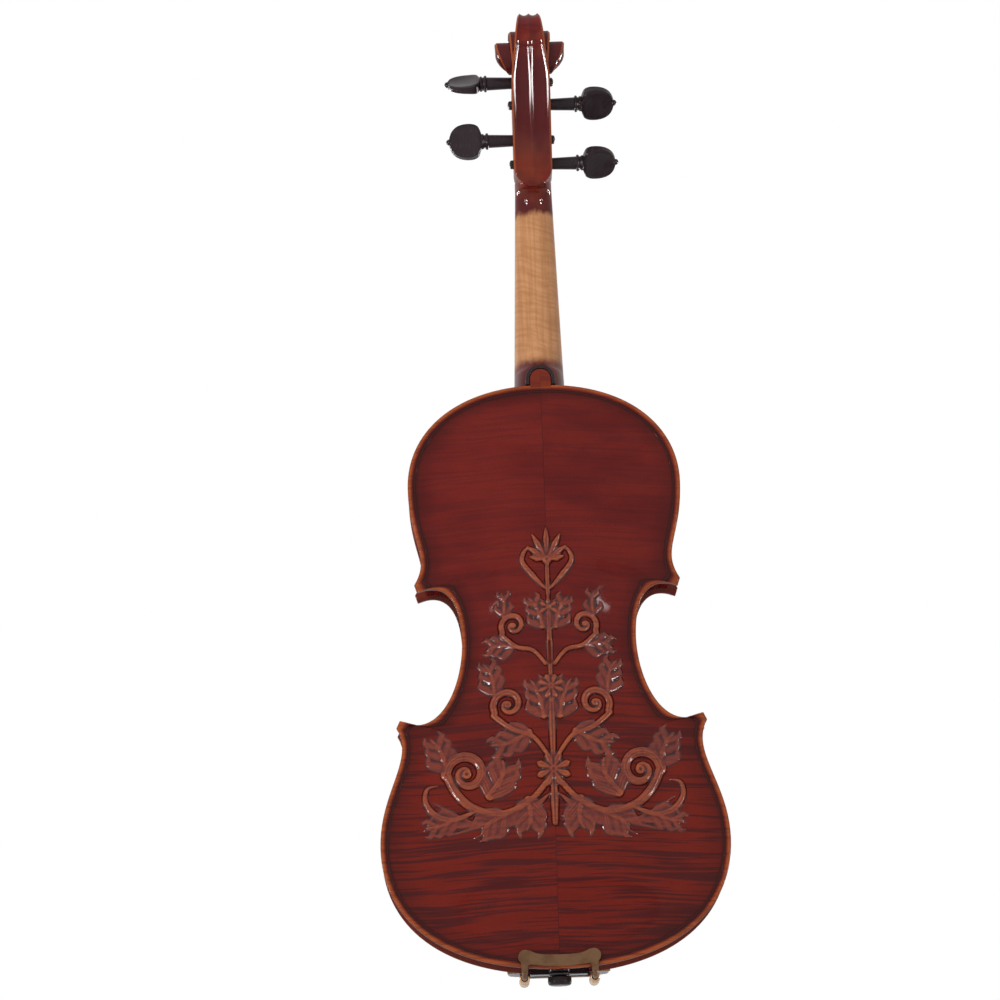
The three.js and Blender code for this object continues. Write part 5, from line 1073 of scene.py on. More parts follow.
def bridge_shell():
    """Bridge: half outlines through smooth points, thinner towards the top."""
    edge = np.array([(0.9, 0.86), (0.88, 0.8), (0.8, 0.74), (0.68, 0.735), (0.58, 0.68), (0.55, 0.61), (0.62, 0.55),
                     (0.74, 0.52), (0.815, 0.47), (0.8, 0.39), (0.745, 0.31), (0.75, 0.22), (0.82, 0.14), (0.93, 0.1),
                     (1.0, 0.07), (1.0, 0.0)])
    inside = np.array([(0.44, 0.0), (0.445, 0.08), (0.5, 0.14), (0.49, 0.2), (0.42, 0.25), (0.3, 0.275), (0.16, 0.29),
                       (0.0, 0.285)])
    fine = lambda rows, n: smooth_table(rows, np.linspace(0, len(rows) - 1, n))
    right = [(x, bridge_line(x)) for x in np.linspace(0, 18.7, 14)]
    right += [(a * BRIDGE_HALF, FOOT_Y + b * BRIDGE_RISE) for a, b in fine(edge, 48)]
    foot = [(x, plate_height(x, BRIDGE_Z) + 0.15) for x in np.linspace(BRIDGE_HALF, 9.13, 8)]
    right += foot + [(a * BRIDGE_HALF, FOOT_Y + b * BRIDGE_RISE) for a, b in fine(inside, 24)]
    outline = right + [(-x, y) for x, y in right[1:-1][::-1]]
    back = BRIDGE_Z - 2.2
    rings = []
    for depth, grow in ((0.0, 0.25), (0.12, 0.0), (0.88, 0.0), (1.0, 0.25)):
        ring = []
        for x, y in outline:
            thick = 4.4 + (1.5 - 4.4) * min(max((y - FOOT_Y) / 35.0, 0.0), 1.0)
            ring.append((x * (1 - grow * 0.01), y - grow * 0.5 * (1 if y > FOOT_Y + 30 else 0), back + depth * thick))
        rings.append(ring)
    return skin(rings)


def heart_shell():
    rows = np.array([(0.0, 0.66), (0.06, 0.68), (0.12, 0.655), (0.14, 0.6), (0.1, 0.53), (0.0, 0.46)])
    right = [(a * BRIDGE_HALF, FOOT_Y + b * BRIDGE_RISE) for a, b in smooth_table(rows, np.linspace(0, 5, 20))]
    outline = right + [(-x, y) for x, y in right[1:-1][::-1]]
    return skin([[(x, y, z) for x, y in outline] for z in (BRIDGE_Z - 6, BRIDGE_Z + 6)])


def string_run(name):
    """A string's route from its ball over fret or hook, bridge and nut to its peg, and the peg's coil angle."""
    radius, spread = STRING_SET[name]
    tail_x = spread * TAIL_SPREAD
    if name == "e":
        hook_y = tail_top(TAIL_SPREAD - 3.5, TUNER) + 1.6 - 0.45
        ends = (tail_x, hook_y, 104.8), (tail_x, hook_y, 108.2)
    else:
        ends = (tail_x, tail_top(tail_x, HOLES) - 2.6, HOLES), (tail_x, tail_top(tail_x, FRET) + 1.65, FRET)
    first, over = on_tail(ends)
    bridge_x = spread * BRIDGE_SPREAD
    bridge = np.array((bridge_x, bridge_line(bridge_x) + 0.45, BRIDGE_Z - 2.2 + 0.75))
    nut_x = spread * NUT_SPREAD
    nut = on_neck([(nut_x, board_top(nut_x) + 1.15, 2.7)])[0]
    _, side, _, offset = PEGS[name]
    y, z = peg_axis(name)
    x = side * offset
    reach = shank_radius(x * side) + 0.35 + radius
    dy, dz = nut[1] - y, nut[2] - z
    angle = math.atan2(dz, dy) + math.acos(reach / math.hypot(dy, dz))
    last = np.array((x, y + reach * math.cos(angle), z + reach * math.sin(angle)))
    return radius, [first, over, bridge, nut, last], angle


def string_shell(name):
    radius, knots, _ = string_run(name)
    points = [knots[0]]
    for a, b in zip(knots, knots[1:]):
        way = b - a
        far = np.linalg.norm(way)
        points += [a + way * (1.0 / far), b - way * (1.0 / far), b] if far > 8 else [b]
    ball = [(math.sin(a) * 1.2, -1.2 * math.cos(a)) for a in np.linspace(0, math.pi, 9)]
    centre = knots[0]
    return merged(tube(points, radius, 14), turned([(max(r, 0.0), h) for r, h in ball], 16, centre, "z"))


def winding_shell(name):
    """A string's coil: one tube that runs round the peg from beside the string towards the middle."""
    radius, _, angle = string_run(name)
    _, side, _, offset = PEGS[name]
    y, z = peg_axis(name)
    points = []
    for turn in np.linspace(0, 3, 145):
        x = side * (offset - 2 * radius - 0.3 - 1.5 * turn)
        reach = shank_radius(x * side) + 0.35 + radius
        at = angle + turn * TURN
        points.append((x, y + reach * math.cos(at), z + reach * math.sin(at)))
    return tube(points, radius, 12)


RIB_MIDDLE = (RIB_FROM + RIB_TO) / 2
ROD_X, ROD_Z = 21.0, -4.4


def sound_hole(side):
    """One sound hole's outline: stem, both eyes and the notches, each a closed outline in X and Z."""
    top, foot = 0.5562 * LENGTH, 0.382 * LENGTH
    rows = np.array([(-0.12, -0.01, 0.2), (0.02, -0.1, 0.35), (0.3, -0.1, 0.6), (0.52, 0.06, 0.95), (0.56, 0.3, 1.0),
                     (0.6, 0.5, 1.0), (0.64, 0.7, 1.0), (0.68, 0.94, 0.95), (0.9, 1.1, 0.6), (1.18, 1.1, 0.35),
                     (1.28, 1.01, 0.2)])
    fine = smooth_table(rows, np.linspace(0, len(rows) - 1, 81))
    x, z, half = 23.5 + 17.5 * fine[:, 0], top - (top - foot) * fine[:, 1], 3.1 * fine[:, 2]
    way = np.gradient(np.stack([x, z], axis=1), axis=0)
    way /= np.linalg.norm(way, axis=1)[:, None]
    edges = [np.stack([x + s * half * way[:, 1], z - s * half * way[:, 0]], axis=1) for s in (1, -1)]
    stem = np.concatenate([edges[0], edges[1][::-1]])
    angles = np.linspace(0, TURN, 40, endpoint=False)
    eyes = [np.stack([cx + r * np.cos(angles), cz + r * np.sin(angles)], axis=1)
            for cx, cz, r in ((23.5, top, 3.4), (41.0, foot, 4.4))]
    middle, reach = 23.5 + 17.5 * 0.618, 4.7
    notch = np.array([(middle - reach, BRIDGE_Z), (middle, BRIDGE_Z - 1.3), (middle + reach, BRIDGE_Z),
                      (middle, BRIDGE_Z + 1.3)])
    return [outline * (side, 1) for outline in (stem, *eyes, notch)]


def button_shell():
    """End button: tapered shank, collar, groove for the cord and a domed head with a turned line."""
    profile = [(0.0, -19.0), (3.0, -19.0), (3.2, -18.6), (4.15, -0.02), (4.2, 0.0), (5.8, 0.0), (6.1, 0.35),
               (6.1, 2.1), (5.7, 2.6), (4.6, 2.75), (4.25, 3.4), (4.2, 4.4), (4.5, 5.2), (6.3, 5.5), (6.9, 5.75),
               (7.1, 6.2), (7.1, 8.9), (6.9, 9.2), (7.0, 9.4), (6.8, 10.1), (6.2, 10.6), (5.4, 10.9), (0.0, 10.9)]
    return turned([(r, 2.5 - a) for r, a in profile], 48, (0.0, RIB_MIDDLE, 0.0), "z")


def saddle_shell():
    rows = [(35.3, 0.0), (45.6, 0.0), (46.3, 0.4), (46.6, 1.2), (46.6, 4.6), (46.1, 5.5), (44.6, 6.3), (40.0, 6.4),
            (35.3, 6.4)]
    return bar_along_x(rows, 17.5)


def gut_shell():
    """The tail cord: from the tailpiece over the saddle, round the end button's groove and back."""
    turn, level = 5.5, 2.5 - 2.6 - 1.45
    half = [on_tail((4.6, 1.25, 9.0))[0], on_tail((4.6, 1.25, 1.0))[0]]
    half += [np.array((4.6, 47.9, part * 6.4)) for part in (0.7, 0.15)]
    half += [np.array(p) for p in ((4.6, 46.9, -1.0), (4.6, 45.1, level), ((4.6 + turn) / 2, BELLY_IN, level),
                                   (turn, BELLY_IN + (RIB_MIDDLE - BELLY_IN) * 2 / 3, level))]
    loop = [np.array((turn * math.cos(a), RIB_MIDDLE - turn * math.sin(a), level))
            for a in np.linspace(0, math.pi, 11)]
    route = np.array(half + loop + [p * (-1, 1, 1) for p in half[::-1]])
    return tube(smooth_table(route, np.linspace(0, len(route) - 1, 180)), 1.0, 16)


def cup_shell():
    """The chinrest's cup: an oval with a rolled rim and a dished top."""
    rows = [(0.06, 0.0, 1), (0.5, 0.0, 1), (0.72, 0.04, 1), (0.88, 0.12, 1), (0.955, 0.3, 1), (0.99, 0.55, 1),
            (1.0, 0.75, 1), (0.992, 0.92, 1), (0.97, 1.0, 1), (0.94, 0.985, 1), (0.9, 0.12, 0), (0.82, 0.34, 0),
            (0.7, 0.6, 0), (0.55, 0.8, 0), (0.38, 0.93, 0), (0.2, 0.99, 0), (0.04, 1.0, 0)]
    rings = []
    for scale, part, rising in rows:
        y = 60.0 + 6.0 * part if rising else 66.0 - 4.5 * part
        angles = np.linspace(0, TURN, 96, endpoint=False)
        drawn_in = 1 - 0.24 * np.clip(np.cos(angles), 0, 1) * np.clip(-np.sin(angles), 0, 1) * 2
        across = np.cos(angles) * 35.0 * scale * drawn_in
        along = np.sin(angles) * 28.0 * scale * drawn_in
        rings.append(np.stack([54.0 + across, np.full(96, y), 42.0 + along], axis=1))
    return skin(rings)


def rounded_box(x0, x1, z0, z1, radius, y0, y1):
    corners = [(x1 - radius, z1 - radius, 0), (x0 + radius, z1 - radius, 90), (x0 + radius, z0 + radius, 180),
               (x1 - radius, z0 + radius, 270)]
    points = [(cx + radius * math.cos(math.radians(a + d)), cz + radius * math.sin(math.radians(a + d)))
              for cx, cz, a in corners for d in range(0, 91, 15)]
    return prism(points, y0, y1)


def rod_shell(side, points):
    route = smooth_table([(side * ROD_X, y, z) for y, z in points], np.linspace(0, len(points) - 1, 48))
    return tube(route, 1.6, 24)


def bracket_rods(side):
    return rod_shell(side, [(53.0, -0.3), (50.0, -1.5), (46.8, -3.83), (43.6, ROD_Z), (37.0, ROD_Z), (26.0, ROD_Z)])


def plate_rods(side):
    return rod_shell(side, [(-2.25, -1.1), (0.0, -3.74), (3.2, ROD_Z), (6.4, ROD_Z), (21.0, ROD_Z)])


def clamp_outline():
    """The clamp's plate behind the back: a waisted bar between two round lobes with a tab below each."""
    right = [(0.0, 8.1), (6.0, 8.2), (11.0, 8.55), (14.2, 9.2), (16.2, 10.1), (17.6, 10.9)]
    right += [(20.3 + 4.3 * math.cos(a), 7.1 + 4.3 * math.sin(a)) for a in np.radians(np.linspace(118, -48, 30))]
    right += [(23.0, 2.8), (22.9, 1.5), (22.9, -2.0), (22.5, -2.2), (19.5, -2.2), (19.1, -2.0), (19.1, 1.2),
              (18.6, 2.3), (17.4, 2.7), (14.0, 2.3), (7.0, 1.5), (0.0, 1.2)]
    return right + [(-x, z) for x, z in right[1:-1][::-1]]


def barrel_shell(side):
    """A turned barrel: open bore, domed ends and two fine turned lines at each end."""
    half = [(1.9, 0.0), (2.2, 0.0), (2.75, 0.25), (3.02, 0.75), (3.1, 1.4), (3.1, 2.2), (2.9, 2.4), (2.9, 2.6),
            (3.1, 2.8), (3.1, 3.4), (2.92, 3.6), (2.92, 3.8), (3.1, 4.0)]
    profile = [(r, 10.0 + a) for r, a in half] + [(r, 37.0 - a) for r, a in half[::-1]]
    rings = []
    for radius, along in profile + [profile[0]]:
        angles = np.arange(40) * TURN / 40
        rings.append(np.stack([side * ROD_X + radius * np.cos(angles), np.full(40, along),
                               ROD_Z + radius * np.sin(angles)], axis=1))
    return skin(rings, close_ends=False)


def screw_shell():
    """The tuner's screw: a plain shank and a knurled head."""
    base = 12.0
    rows = [(0.0, -0.9, 0), (1.0, -0.9, 0), (1.3, -0.5, 0), (1.3, base - 0.02, 0), (2.3, base, 0), (2.7, base, 0),
            (3.0, base + 0.4, 1), (3.0, base + 4.0, 1), (2.7, base + 4.4, 0), (2.2, base + 4.5, 0),
            (0.0, base + 4.5, 0)]
    rings = []
    for radius, y, rough in rows:
        angles = np.arange(72) * TURN / 72
        reach = radius - rough * 0.22 * (np.arange(72) % 3 == 0)
        rings.append(np.stack([-TAIL_SPREAD + reach * np.cos(angles), np.full(72, y),
                               TUNER + reach * np.sin(angles)], axis=1))
    points, faces = skin(rings)
    return on_tail(points), faces


# ---- Carving on the back -------------------------------------------------------------------------


def sweep(points, widths, count):
    """A smooth stroke: places, half widths and the way along it."""
    points = np.asarray(points, dtype=float)
    fine = smooth_table(points, np.linspace(0, len(points) - 1, count))
    half = np.interp(np.linspace(0, 1, count), np.linspace(0, 1, len(widths)), widths)
    way = np.gradient(fine, axis=0)
    way /= np.linalg.norm(way, axis=1)[:, None]
    return fine, half, way


def curl(centre, start, radius, turns, tail):
    """A spiral's points from its outside inwards; a positive turn goes anticlockwise."""
    part = np.linspace(0, 1, 15)
    angle = math.radians(start) + part * turns * TURN
    reach = radius * (1 - (1 - tail) * part)
    return np.column_stack([centre[0] + reach * np.cos(angle), centre[1] + reach * np.sin(angle)])


class Relief:
    """Heights of the carving over a flat grid in X and Z, drawn stroke by stroke."""

    def __init__(self, low, high, cell):
        self.columns = int(round((high[0] - low[0]) / cell)) + 1
        self.rows = int(round((high[1] - low[1]) / cell)) + 1
        self.x, self.z = np.meshgrid(np.linspace(low[0], high[0], self.columns),
                                     np.linspace(low[1], high[1], self.rows), indexing="ij")
        self.height = np.zeros(self.x.shape)
        self.groove = np.zeros(self.x.shape)

    def window(self, points, reach):
        low, high = points.min(axis=0) - reach, points.max(axis=0) + reach
        cx, cz = self.x[:, 0], self.z[0]
        return slice(*np.searchsorted(cx, (low[0], high[0]))), slice(*np.searchsorted(cz, (low[1], high[1])))

    def raise_to(self, area, shape, mark):
        """Lays a form over what is there; where it stands higher its own grooves are kept."""
        over = shape > self.height[area]
        self.groove[area] = np.where(over, mark, self.groove[area])
        self.height[area] = np.maximum(self.height[area], shape)

    def stroke(self, points, widths, height, veins, lift_end, count):
        """A leaf or band with a rounded section and fine veins that run along it."""
        fine, half, way = sweep(points, widths, count)
        area = self.window(fine, max(widths) + 0.5)
        gx, gz = self.x[area], self.z[area]
        best = np.full(gx.shape, 9e9)
        across = np.zeros(gx.shape)
        wide = np.ones(gx.shape)
        along = np.zeros(gx.shape)
        for k, ((px, pz), h, (wx, wz)) in enumerate(zip(fine, half, way)):
            dx, dz = gx - px, gz - pz
            far = dx * dx + dz * dz
            near = far < best
            best[near] = far[near]
            across[near] = (dx * wz - dz * wx)[near]
            wide[near] = h
            along[near] = k / (count - 1)
        side = across / np.maximum(wide, 0.05)
        inside = np.clip(1 - np.sqrt(best) / np.maximum(wide, 0.05), 0, 1)
        dome = np.clip(1 - side ** 2, 0, 1) ** 0.5 * np.clip(inside * 8, 0, 1)
        level = height * (1 + (lift_end - 1) * along)
        vein = np.abs(np.sin(side * math.pi * veins * 0.5)) ** 0.5
        shape = np.where(inside > 0, level * dome * (0.62 + 0.38 * vein), 0.0)
        mark = np.clip(1 - vein, 0, 1) ** 2 * (inside > 0)
        self.raise_to(area, shape, mark)

    def dome(self, centre, radius, height, dimple):
        """A round boss with a dimple in its middle."""
        area = self.window(np.array([centre]), radius + 0.5)
        far = np.hypot(self.x[area] - centre[0], self.z[area] - centre[1]) / radius
        shape = height * np.clip(1 - far ** 2, 0, 1) ** 0.5
        shape = shape - dimple * np.clip(1 - (far / 0.45) ** 2, 0, 1)
        self.raise_to(area, np.where(far < 1, shape, 0.0), np.where(far < 0.4, dimple, 0.0))

    def leaf(self, root, tip, width, bend, height, lobes):
        """An acanthus leaf: a bent midrib with lobes that curl out of it on both sides."""
        root, tip = np.array(root, dtype=float), np.array(tip, dtype=float)
        way = tip - root
        side = np.array((way[1], -way[0])) / np.linalg.norm(way)
        spine = [root, root + way * 0.35 + side * bend * 0.8, root + way * 0.7 + side * bend, tip]
        self.stroke(spine, [width * 0.25, width * 0.8, width * 0.62, width * 0.1], height * 0.55, 7, 0.7, 40)
        for k in range(lobes):
            part = 0.12 + 0.6 * k / max(lobes - 1, 1)
            base = smooth_table(spine, part * 3)[0]
            size = width * (1.05 - 0.45 * part) * 1.25
            for hand in (1, -1):
                out = side * hand
                forward = way / np.linalg.norm(way)
                self.stroke([base - forward * size * 0.25, base + out * size * 0.42 + forward * size * 0.2,
                             base + out * size * 0.85 + forward * size * 0.7,
                             base + out * size * 0.72 + forward * size * 1.25],
                            [size * 0.3, size * 0.44, size * 0.36, size * 0.06], height * 0.82, 5, 0.7, 28)
        self.stroke(spine, [width * 0.22, width * 0.3, width * 0.22, width * 0.06], height, 3, 0.8, 48)


# Root, tip, width, bend, height and lobes of the right half's leaves, from below
LOW_LEAVES = (
    ((30, 91), (44, 81), 7.5, -2.0, 0.9, 3), ((58, 91), (77, 86), 6.0, 1.5, 0.8, 3),
    ((39, 104), (30, 124), 8.5, -3.0, 0.95, 3), ((64, 120), (73, 139), 7.0, -2.0, 0.8, 3),
    ((16, 99), (17, 82), 8.0, 2.0, 0.95, 3),
)
MIDDLE_LEAVES = (
    ((14, 141), (37, 134), 7.0, 2.5, 0.9, 3), ((34, 165), (40, 184), 6.0, -2.0, 0.8, 3),
    ((5, 150), (12, 172), 6.5, -1.5, 0.9, 3),
)
TOP_LEAVES = (
    ((22, 193), (38, 192), 5.5, -2.0, 0.8, 3), ((4, 204), (12, 222), 5.5, -2.0, 0.85, 3),
    ((27, 212), (28, 226), 4.4, -1.0, 0.75, 2),
)
# Reach, height at the tip and bow of the long base leaves
BASE_STROKES = ((78, 84.5, 6), (80, 89.5, 9), (77, 95, 12), (72, 100.5, 14), (64, 80.5, 3), (48, 78.5, 1))


def half_ornament(relief, hand):
    """One side of the ornament: base scrolls and three tiers of scrolls with their leaves."""
    def band(points, widths, height, veins, lift_end, count, spiral=None):
        points = [*points, *curl(*spiral)] if spiral else points
        relief.stroke([(hand * x, z) for x, z in points], widths, height, veins, lift_end, count)

    def tier(boss, radius, height, dimple, leaves):
        relief.dome((hand * boss[0], boss[1]), radius, height, dimple)
        for (root_x, root_z), (tip_x, tip_z), width, bend, lift, lobes in leaves:
            relief.leaf((hand * root_x, root_z), (hand * tip_x, tip_z), width, hand * bend, lift, lobes)

    for reach, foot, top in BASE_STROKES:
        band([(2, 104), (reach * 0.28, 96 - top * 0.6), (reach * 0.62, 87 - top * 0.1), (reach, foot)],
             [0.5, 1.7, 2.1, 0.4], 0.6, 3, 0.8, 90)
    band([(3, 112), (15, 99), (32, 92), (48, 96), (58, 105), (64, 117)], [2.2, 3.2, 3.4, 3.2, 2.4, 1.3],
         1.0, 4, 0.9, 150, ((52.0, 117.0), 0, 12.5, 1.35, 0.2))
    band([(46, 95), (60, 90), (71, 93), (77, 101), (76, 109), (70, 111)], [1.2, 2.6, 2.6, 2.2, 1.6, 0.6],
         0.85, 3, 0.8, 60)
    tier((52.0, 117.0), 3.4, 1.15, 0.35, LOW_LEAVES)
    band([(4, 128), (12, 138), (24, 143), (34, 151)], [1.8, 2.7, 2.7, 2.0, 1.1],
         0.95, 3, 0.9, 130, ((26.0, 158.0), -30, 9.5, 1.25, 0.22))
    tier((26.0, 158.0), 2.6, 1.1, 0.3, MIDDLE_LEAVES)
    band([(3, 182), (10, 190), (20, 193), (28, 200)], [1.6, 2.3, 2.2, 1.7, 1.0],
         0.9, 3, 0.9, 120, ((21.5, 206.0), -30, 7.6, 1.2, 0.24))
    tier((21.5, 206.0), 2.1, 1.05, 0.28, TOP_LEAVES)
    band([(2, 228), (9, 236), (15, 245), (12, 252), (8, 250)], [1.2, 2.2, 2.0, 1.4, 0.8], 0.85, 3, 0.9, 70)


def ornament(cell):
    """A symmetrical leaf and scroll ornament: base scrolls, a stem of leaf whorls and a palmette on top."""
    relief = Relief((-84.0, 76.0), (84.0, 268.0), cell)
    for hand in (1, -1):
        half_ornament(relief, hand)
    for low, high, wide in ((86, 128, 3.0), (124, 178, 2.6), (176, 226, 2.2), (222, 250, 1.8)):
        relief.stroke([(0, low), (0.0, (low * 2 + high) / 3), (0.0, (low + high * 2) / 3), (0, high)],
                      [wide * 0.7, wide, wide * 0.8, wide * 0.5], 1.0, 3, 0.85, 60)
    for z, radius, petals in ((118.0, 10.5, 8), (168.0, 7.6, 8), (216.0, 5.6, 6)):
        for k in range(petals):
            a = (k + 0.5) * TURN / petals
            tip = (radius * math.cos(a), z + radius * math.sin(a))
            relief.stroke([(0.2 * tip[0], z + 0.2 * (tip[1] - z)), (0.55 * tip[0], z + 0.55 * (tip[1] - z)),
                           (0.85 * tip[0], z + 0.85 * (tip[1] - z)), tip],
                          [radius * 0.1, radius * 0.27, radius * 0.26, radius * 0.06], 1.12, 3, 1.0, 30)
        relief.dome((0.0, z), radius * 0.3, 1.25, 0.3)
    for degrees, reach in ((90, 20), (62, 18), (118, 18), (36, 14.5), (144, 14.5), (12, 10.5), (168, 10.5)):
        a = math.radians(degrees)
        tip = (reach * math.cos(a), 245 + reach * math.sin(a))
        relief.stroke([(0.15 * tip[0], 245 + 0.15 * (tip[1] - 245)), (0.6 * tip[0], 245 + 0.6 * (tip[1] - 245)), tip],
                      [1.0, 2.7, 0.5], 1.05, 3, 0.9, 40)
    relief.dome((0.0, 245.0), 3.2, 1.2, 0.25)
    return relief


def blurred(field, times):
    for _ in range(times):
        field = (field + np.roll(field, 1, 0) + np.roll(field, -1, 0)) / 3
        field = (field + np.roll(field, 1, 1) + np.roll(field, -1, 1)) / 3
    return field


def carving_shell(plate, sizes):
    """The ornament's mesh, laid on the back's arched face with its edges just under it."""
    relief = ornament(sizes.relief_cell / MM)
    raised = relief.height > 0.02
    mask = blurred(raised.astype(float), 1) > 0.001
    height = blurred(relief.height, 1)
    tree = BVHTree.FromObject(plate, bpy.context.evaluated_depsgraph_get())
    low_x, low_z = relief.x[0, 0], relief.z[0, 0]
    coarse_x = np.linspace(low_x, -low_x, 113)
    coarse_z = np.linspace(low_z, relief.z[0, -1], 129)
    table = np.zeros((113, 129))
    for i, x in enumerate(coarse_x):
        for j, z in enumerate(coarse_z):
            start = Vector(place([(x, -60.0, z)])[0])
            hit = tree.ray_cast(start, Vector((0, 1, 0)))[0]
            table[i, j] = (hit.y / MM + EYE_Y) if hit else 0.0
    at_x = (relief.x - low_x) / (coarse_x[1] - coarse_x[0])
    at_z = (relief.z - low_z) / (coarse_z[1] - coarse_z[0])
    i = np.clip(at_x.astype(int), 0, 111)
    j = np.clip(at_z.astype(int), 0, 127)
    fx, fz = at_x - i, at_z - j
    base = ((table[i, j] * (1 - fx) + table[i + 1, j] * fx) * (1 - fz)
            + (table[i, j + 1] * (1 - fx) + table[i + 1, j + 1] * fx) * fz)
    rise = height * (sizes.relief / MM) - 0.18
    y = base - rise
    number = np.full(mask.shape, -1)
    number[mask] = np.arange(mask.sum())
    points = np.stack([relief.x[mask], y[mask], relief.z[mask]], axis=1)
    cell_ok = mask[:-1, :-1] & mask[1:, :-1] & mask[1:, 1:] & mask[:-1, 1:]
    ii, jj = np.nonzero(cell_ok)
    faces = np.stack([number[ii, jj], number[ii + 1, jj], number[ii + 1, jj + 1], number[ii, jj + 1]], axis=1)
    top = height[mask] / max(height.max(), 1e-6)
    groove = blurred(relief.groove, 1)[mask]
    # Painted shade: the foot of each form, its valleys and its grooves are darkened, partly as pooled varnish and
    # partly as painted shade.
    foot = np.clip(1 - top / 0.45, 0, 1)
    swell = (height - blurred(height, 9))[mask]
    # Painted highlight: the carving's crests are lightened, partly as worn varnish and partly as a painted highlight.
    worn = np.clip(0.22 + 5.0 * swell, 0, 1) * np.clip((top - 0.25) / 0.4, 0, 1) * (1 - groove) ** 2
    deep = np.clip(groove + foot * 0.9 - 5.0 * swell, 0, 1)
    return (points, [tuple(f) for f in faces.tolist()]), {"worn": worn, "deep": deep}


# ---- Stage ---------------------------------------------------------------------------------------

# In metres from the hanger point, like everything on the stage
HANGER = (0.0, 0.0, 0.0)
BODY_MIDDLE = (0.0, 0.0, -0.28)
HEAD_LAMP_HEIGHTS = (-0.08, -0.6)
CAMERA_AT = (-0.05077, -2.68088, -0.80685)
CAMERA_TURN = (0.51, -11.52, -1.79)  # azimuth, elevation and roll in degrees
CAMERA_LENS = 162.36
FLOOR_FADE = (0.7, 2.4)  # how far out the floor starts to pass into white, and where it has


def soft_lamp(name, at, towards, width, height, power):
    """A rectangular lamp that faces a point."""
    lamp = bpy.data.lights.new(name, "AREA")
    lamp.shape = "RECTANGLE"
    lamp.size = width
    lamp.size_y = height
    lamp.energy = power
    made = bpy.data.objects.new(name, lamp)
    bpy.context.scene.collection.objects.link(made)
    made.location = at
    made.rotation_euler = (Vector(towards) - Vector(at)).to_track_quat("-Z", "Y").to_euler()
    return made


def camera_like_the_photo():
    """The camera of the photograph: below the middle, a little to one side, tilted up, with a long lens."""
    azimuth, elevation, roll = (math.radians(a) for a in CAMERA_TURN)
    ahead = Vector((math.sin(azimuth) * math.cos(elevation), math.cos(azimuth) * math.cos(elevation),
                    -math.sin(elevation)))
    right = Vector((math.cos(azimuth), -math.sin(azimuth), 0.0))
    up = right.cross(ahead)
    right, up = (right * math.cos(roll) + up * math.sin(roll), up * math.cos(roll) - right * math.sin(roll))
    lens = bpy.data.cameras.new("camera")
    lens.lens = CAMERA_LENS
    lens.sensor_width = 36.0
    lens.clip_end = 50.0
    made = bpy.data.objects.new("camera", lens)
    bpy.context.scene.collection.objects.link(made)
    made.matrix_world = Matrix.Translation(CAMERA_AT) @ Matrix(
        ((right.x, up.x, -ahead.x), (right.y, up.y, -ahead.y), (right.z, up.z, -ahead.z))).to_4x4()
    bpy.context.scene.camera = made


def plain_world():
    """White behind the object, and soft grey light from everywhere else."""
    world = bpy.data.worlds.new("studio")
    world.use_nodes = True
    tree = world.node_tree
    tree.nodes.clear()
    wire = Wire(tree)
    path = wire.node("LightPath").socket.node
    kinds = [Wire(tree, path.outputs[f"Is {kind} Ray"]) for kind in ("Camera", "Glossy", "Transmission")]
    seen = (kinds[0] + kinds[1] + kinds[2]).clamped()
    soft = wire.node("Background", {}, {"Color": (0.97, 0.98, 1.0), "Strength": 0.6})
    white = wire.node("Background", {}, {"Color": (1.0, 1.0, 1.0), "Strength": 1.0})
    wire.node("OutputWorld", {}, {0: wire.node("MixShader", {}, {0: seen, 1: soft, 2: white})})
    bpy.context.scene.world = world


def floor_finish(wire, position):
    """Pale floor that passes into the white surroundings away from the violin."""
    shade = bpy.context.scene.violin_colours.floor
    x, y, _ = split(wire, position)
    away = wire.math("SQRT", x * x + y * y).between(*FLOOR_FADE)
    seen = Wire(wire.tree, wire.node("LightPath").socket.node.outputs["Is Camera Ray"])
    grain = wire.noise(position, 30.0, 3.0)
    tone = (grain * 0.25).mix(shade, tinted(shade, 0.97))
    return {"Base Color": tone, "Roughness": 0.7 + 0.1 * grain, "bump": (grain, 0.0002), "fade": away * seen}


class VIOLIN_OT_stage(bpy.types.Operator):
    """Adds the camera, the lamps, the white surroundings and the floor"""

    bl_idname = "violin.stage"
    bl_label = "Stage"

    def execute(self, context):
        camera_like_the_photo()
        plain_world()
        context.scene.view_settings.view_transform = "Standard"
        for face, word in ((-1, "back"), (1, "front")):
            for side in (-1, 1):
                low = soft_lamp(f"gloss_{word}_{side}", (side * 1.6, face * 1.0, -0.64), BODY_MIDDLE, 0.11, 0.5, 7.5)
                low.visible_diffuse = False
                for height in HEAD_LAMP_HEIGHTS:
                    high = soft_lamp(f"head_gloss_{word}_{side}_{height}", (side * 1.1, face * 1.1, height),
                                     HANGER, 0.2, 0.3, 0.22)
                    high.data.spread = math.radians(17)
                    high.visible_diffuse = False
            fill = soft_lamp("fill_" + word, (-1.1, face * 2.0, 1.0), BODY_MIDDLE, 1.8, 1.8, 36.0)
            fill.visible_glossy = False
        floor = new_object("floor", boxed((-3000, -3000, -402.0), (3000, 3000, -400.0)), smooth=False)
        floor.data.materials.append(new_material("violin floor", floor_finish))
        return {"FINISHED"}


# ---- Builders ------------------------------------------------------------------------------------


def body_piece(name, shell, finish, *nodes, body=ROOT_BODY, values=None, bevel=0.0, angle=35.0, smooth=True):
    """A piece of the violin from a shell, with its finish, a bevel if asked for, and the nodes it stands for."""
    made = new_object(name, shell, finish, values, smooth)
    if bevel:
        soften(made, bevel, angle)
    return settle(made, body, FINISHES[finish][0], *nodes)


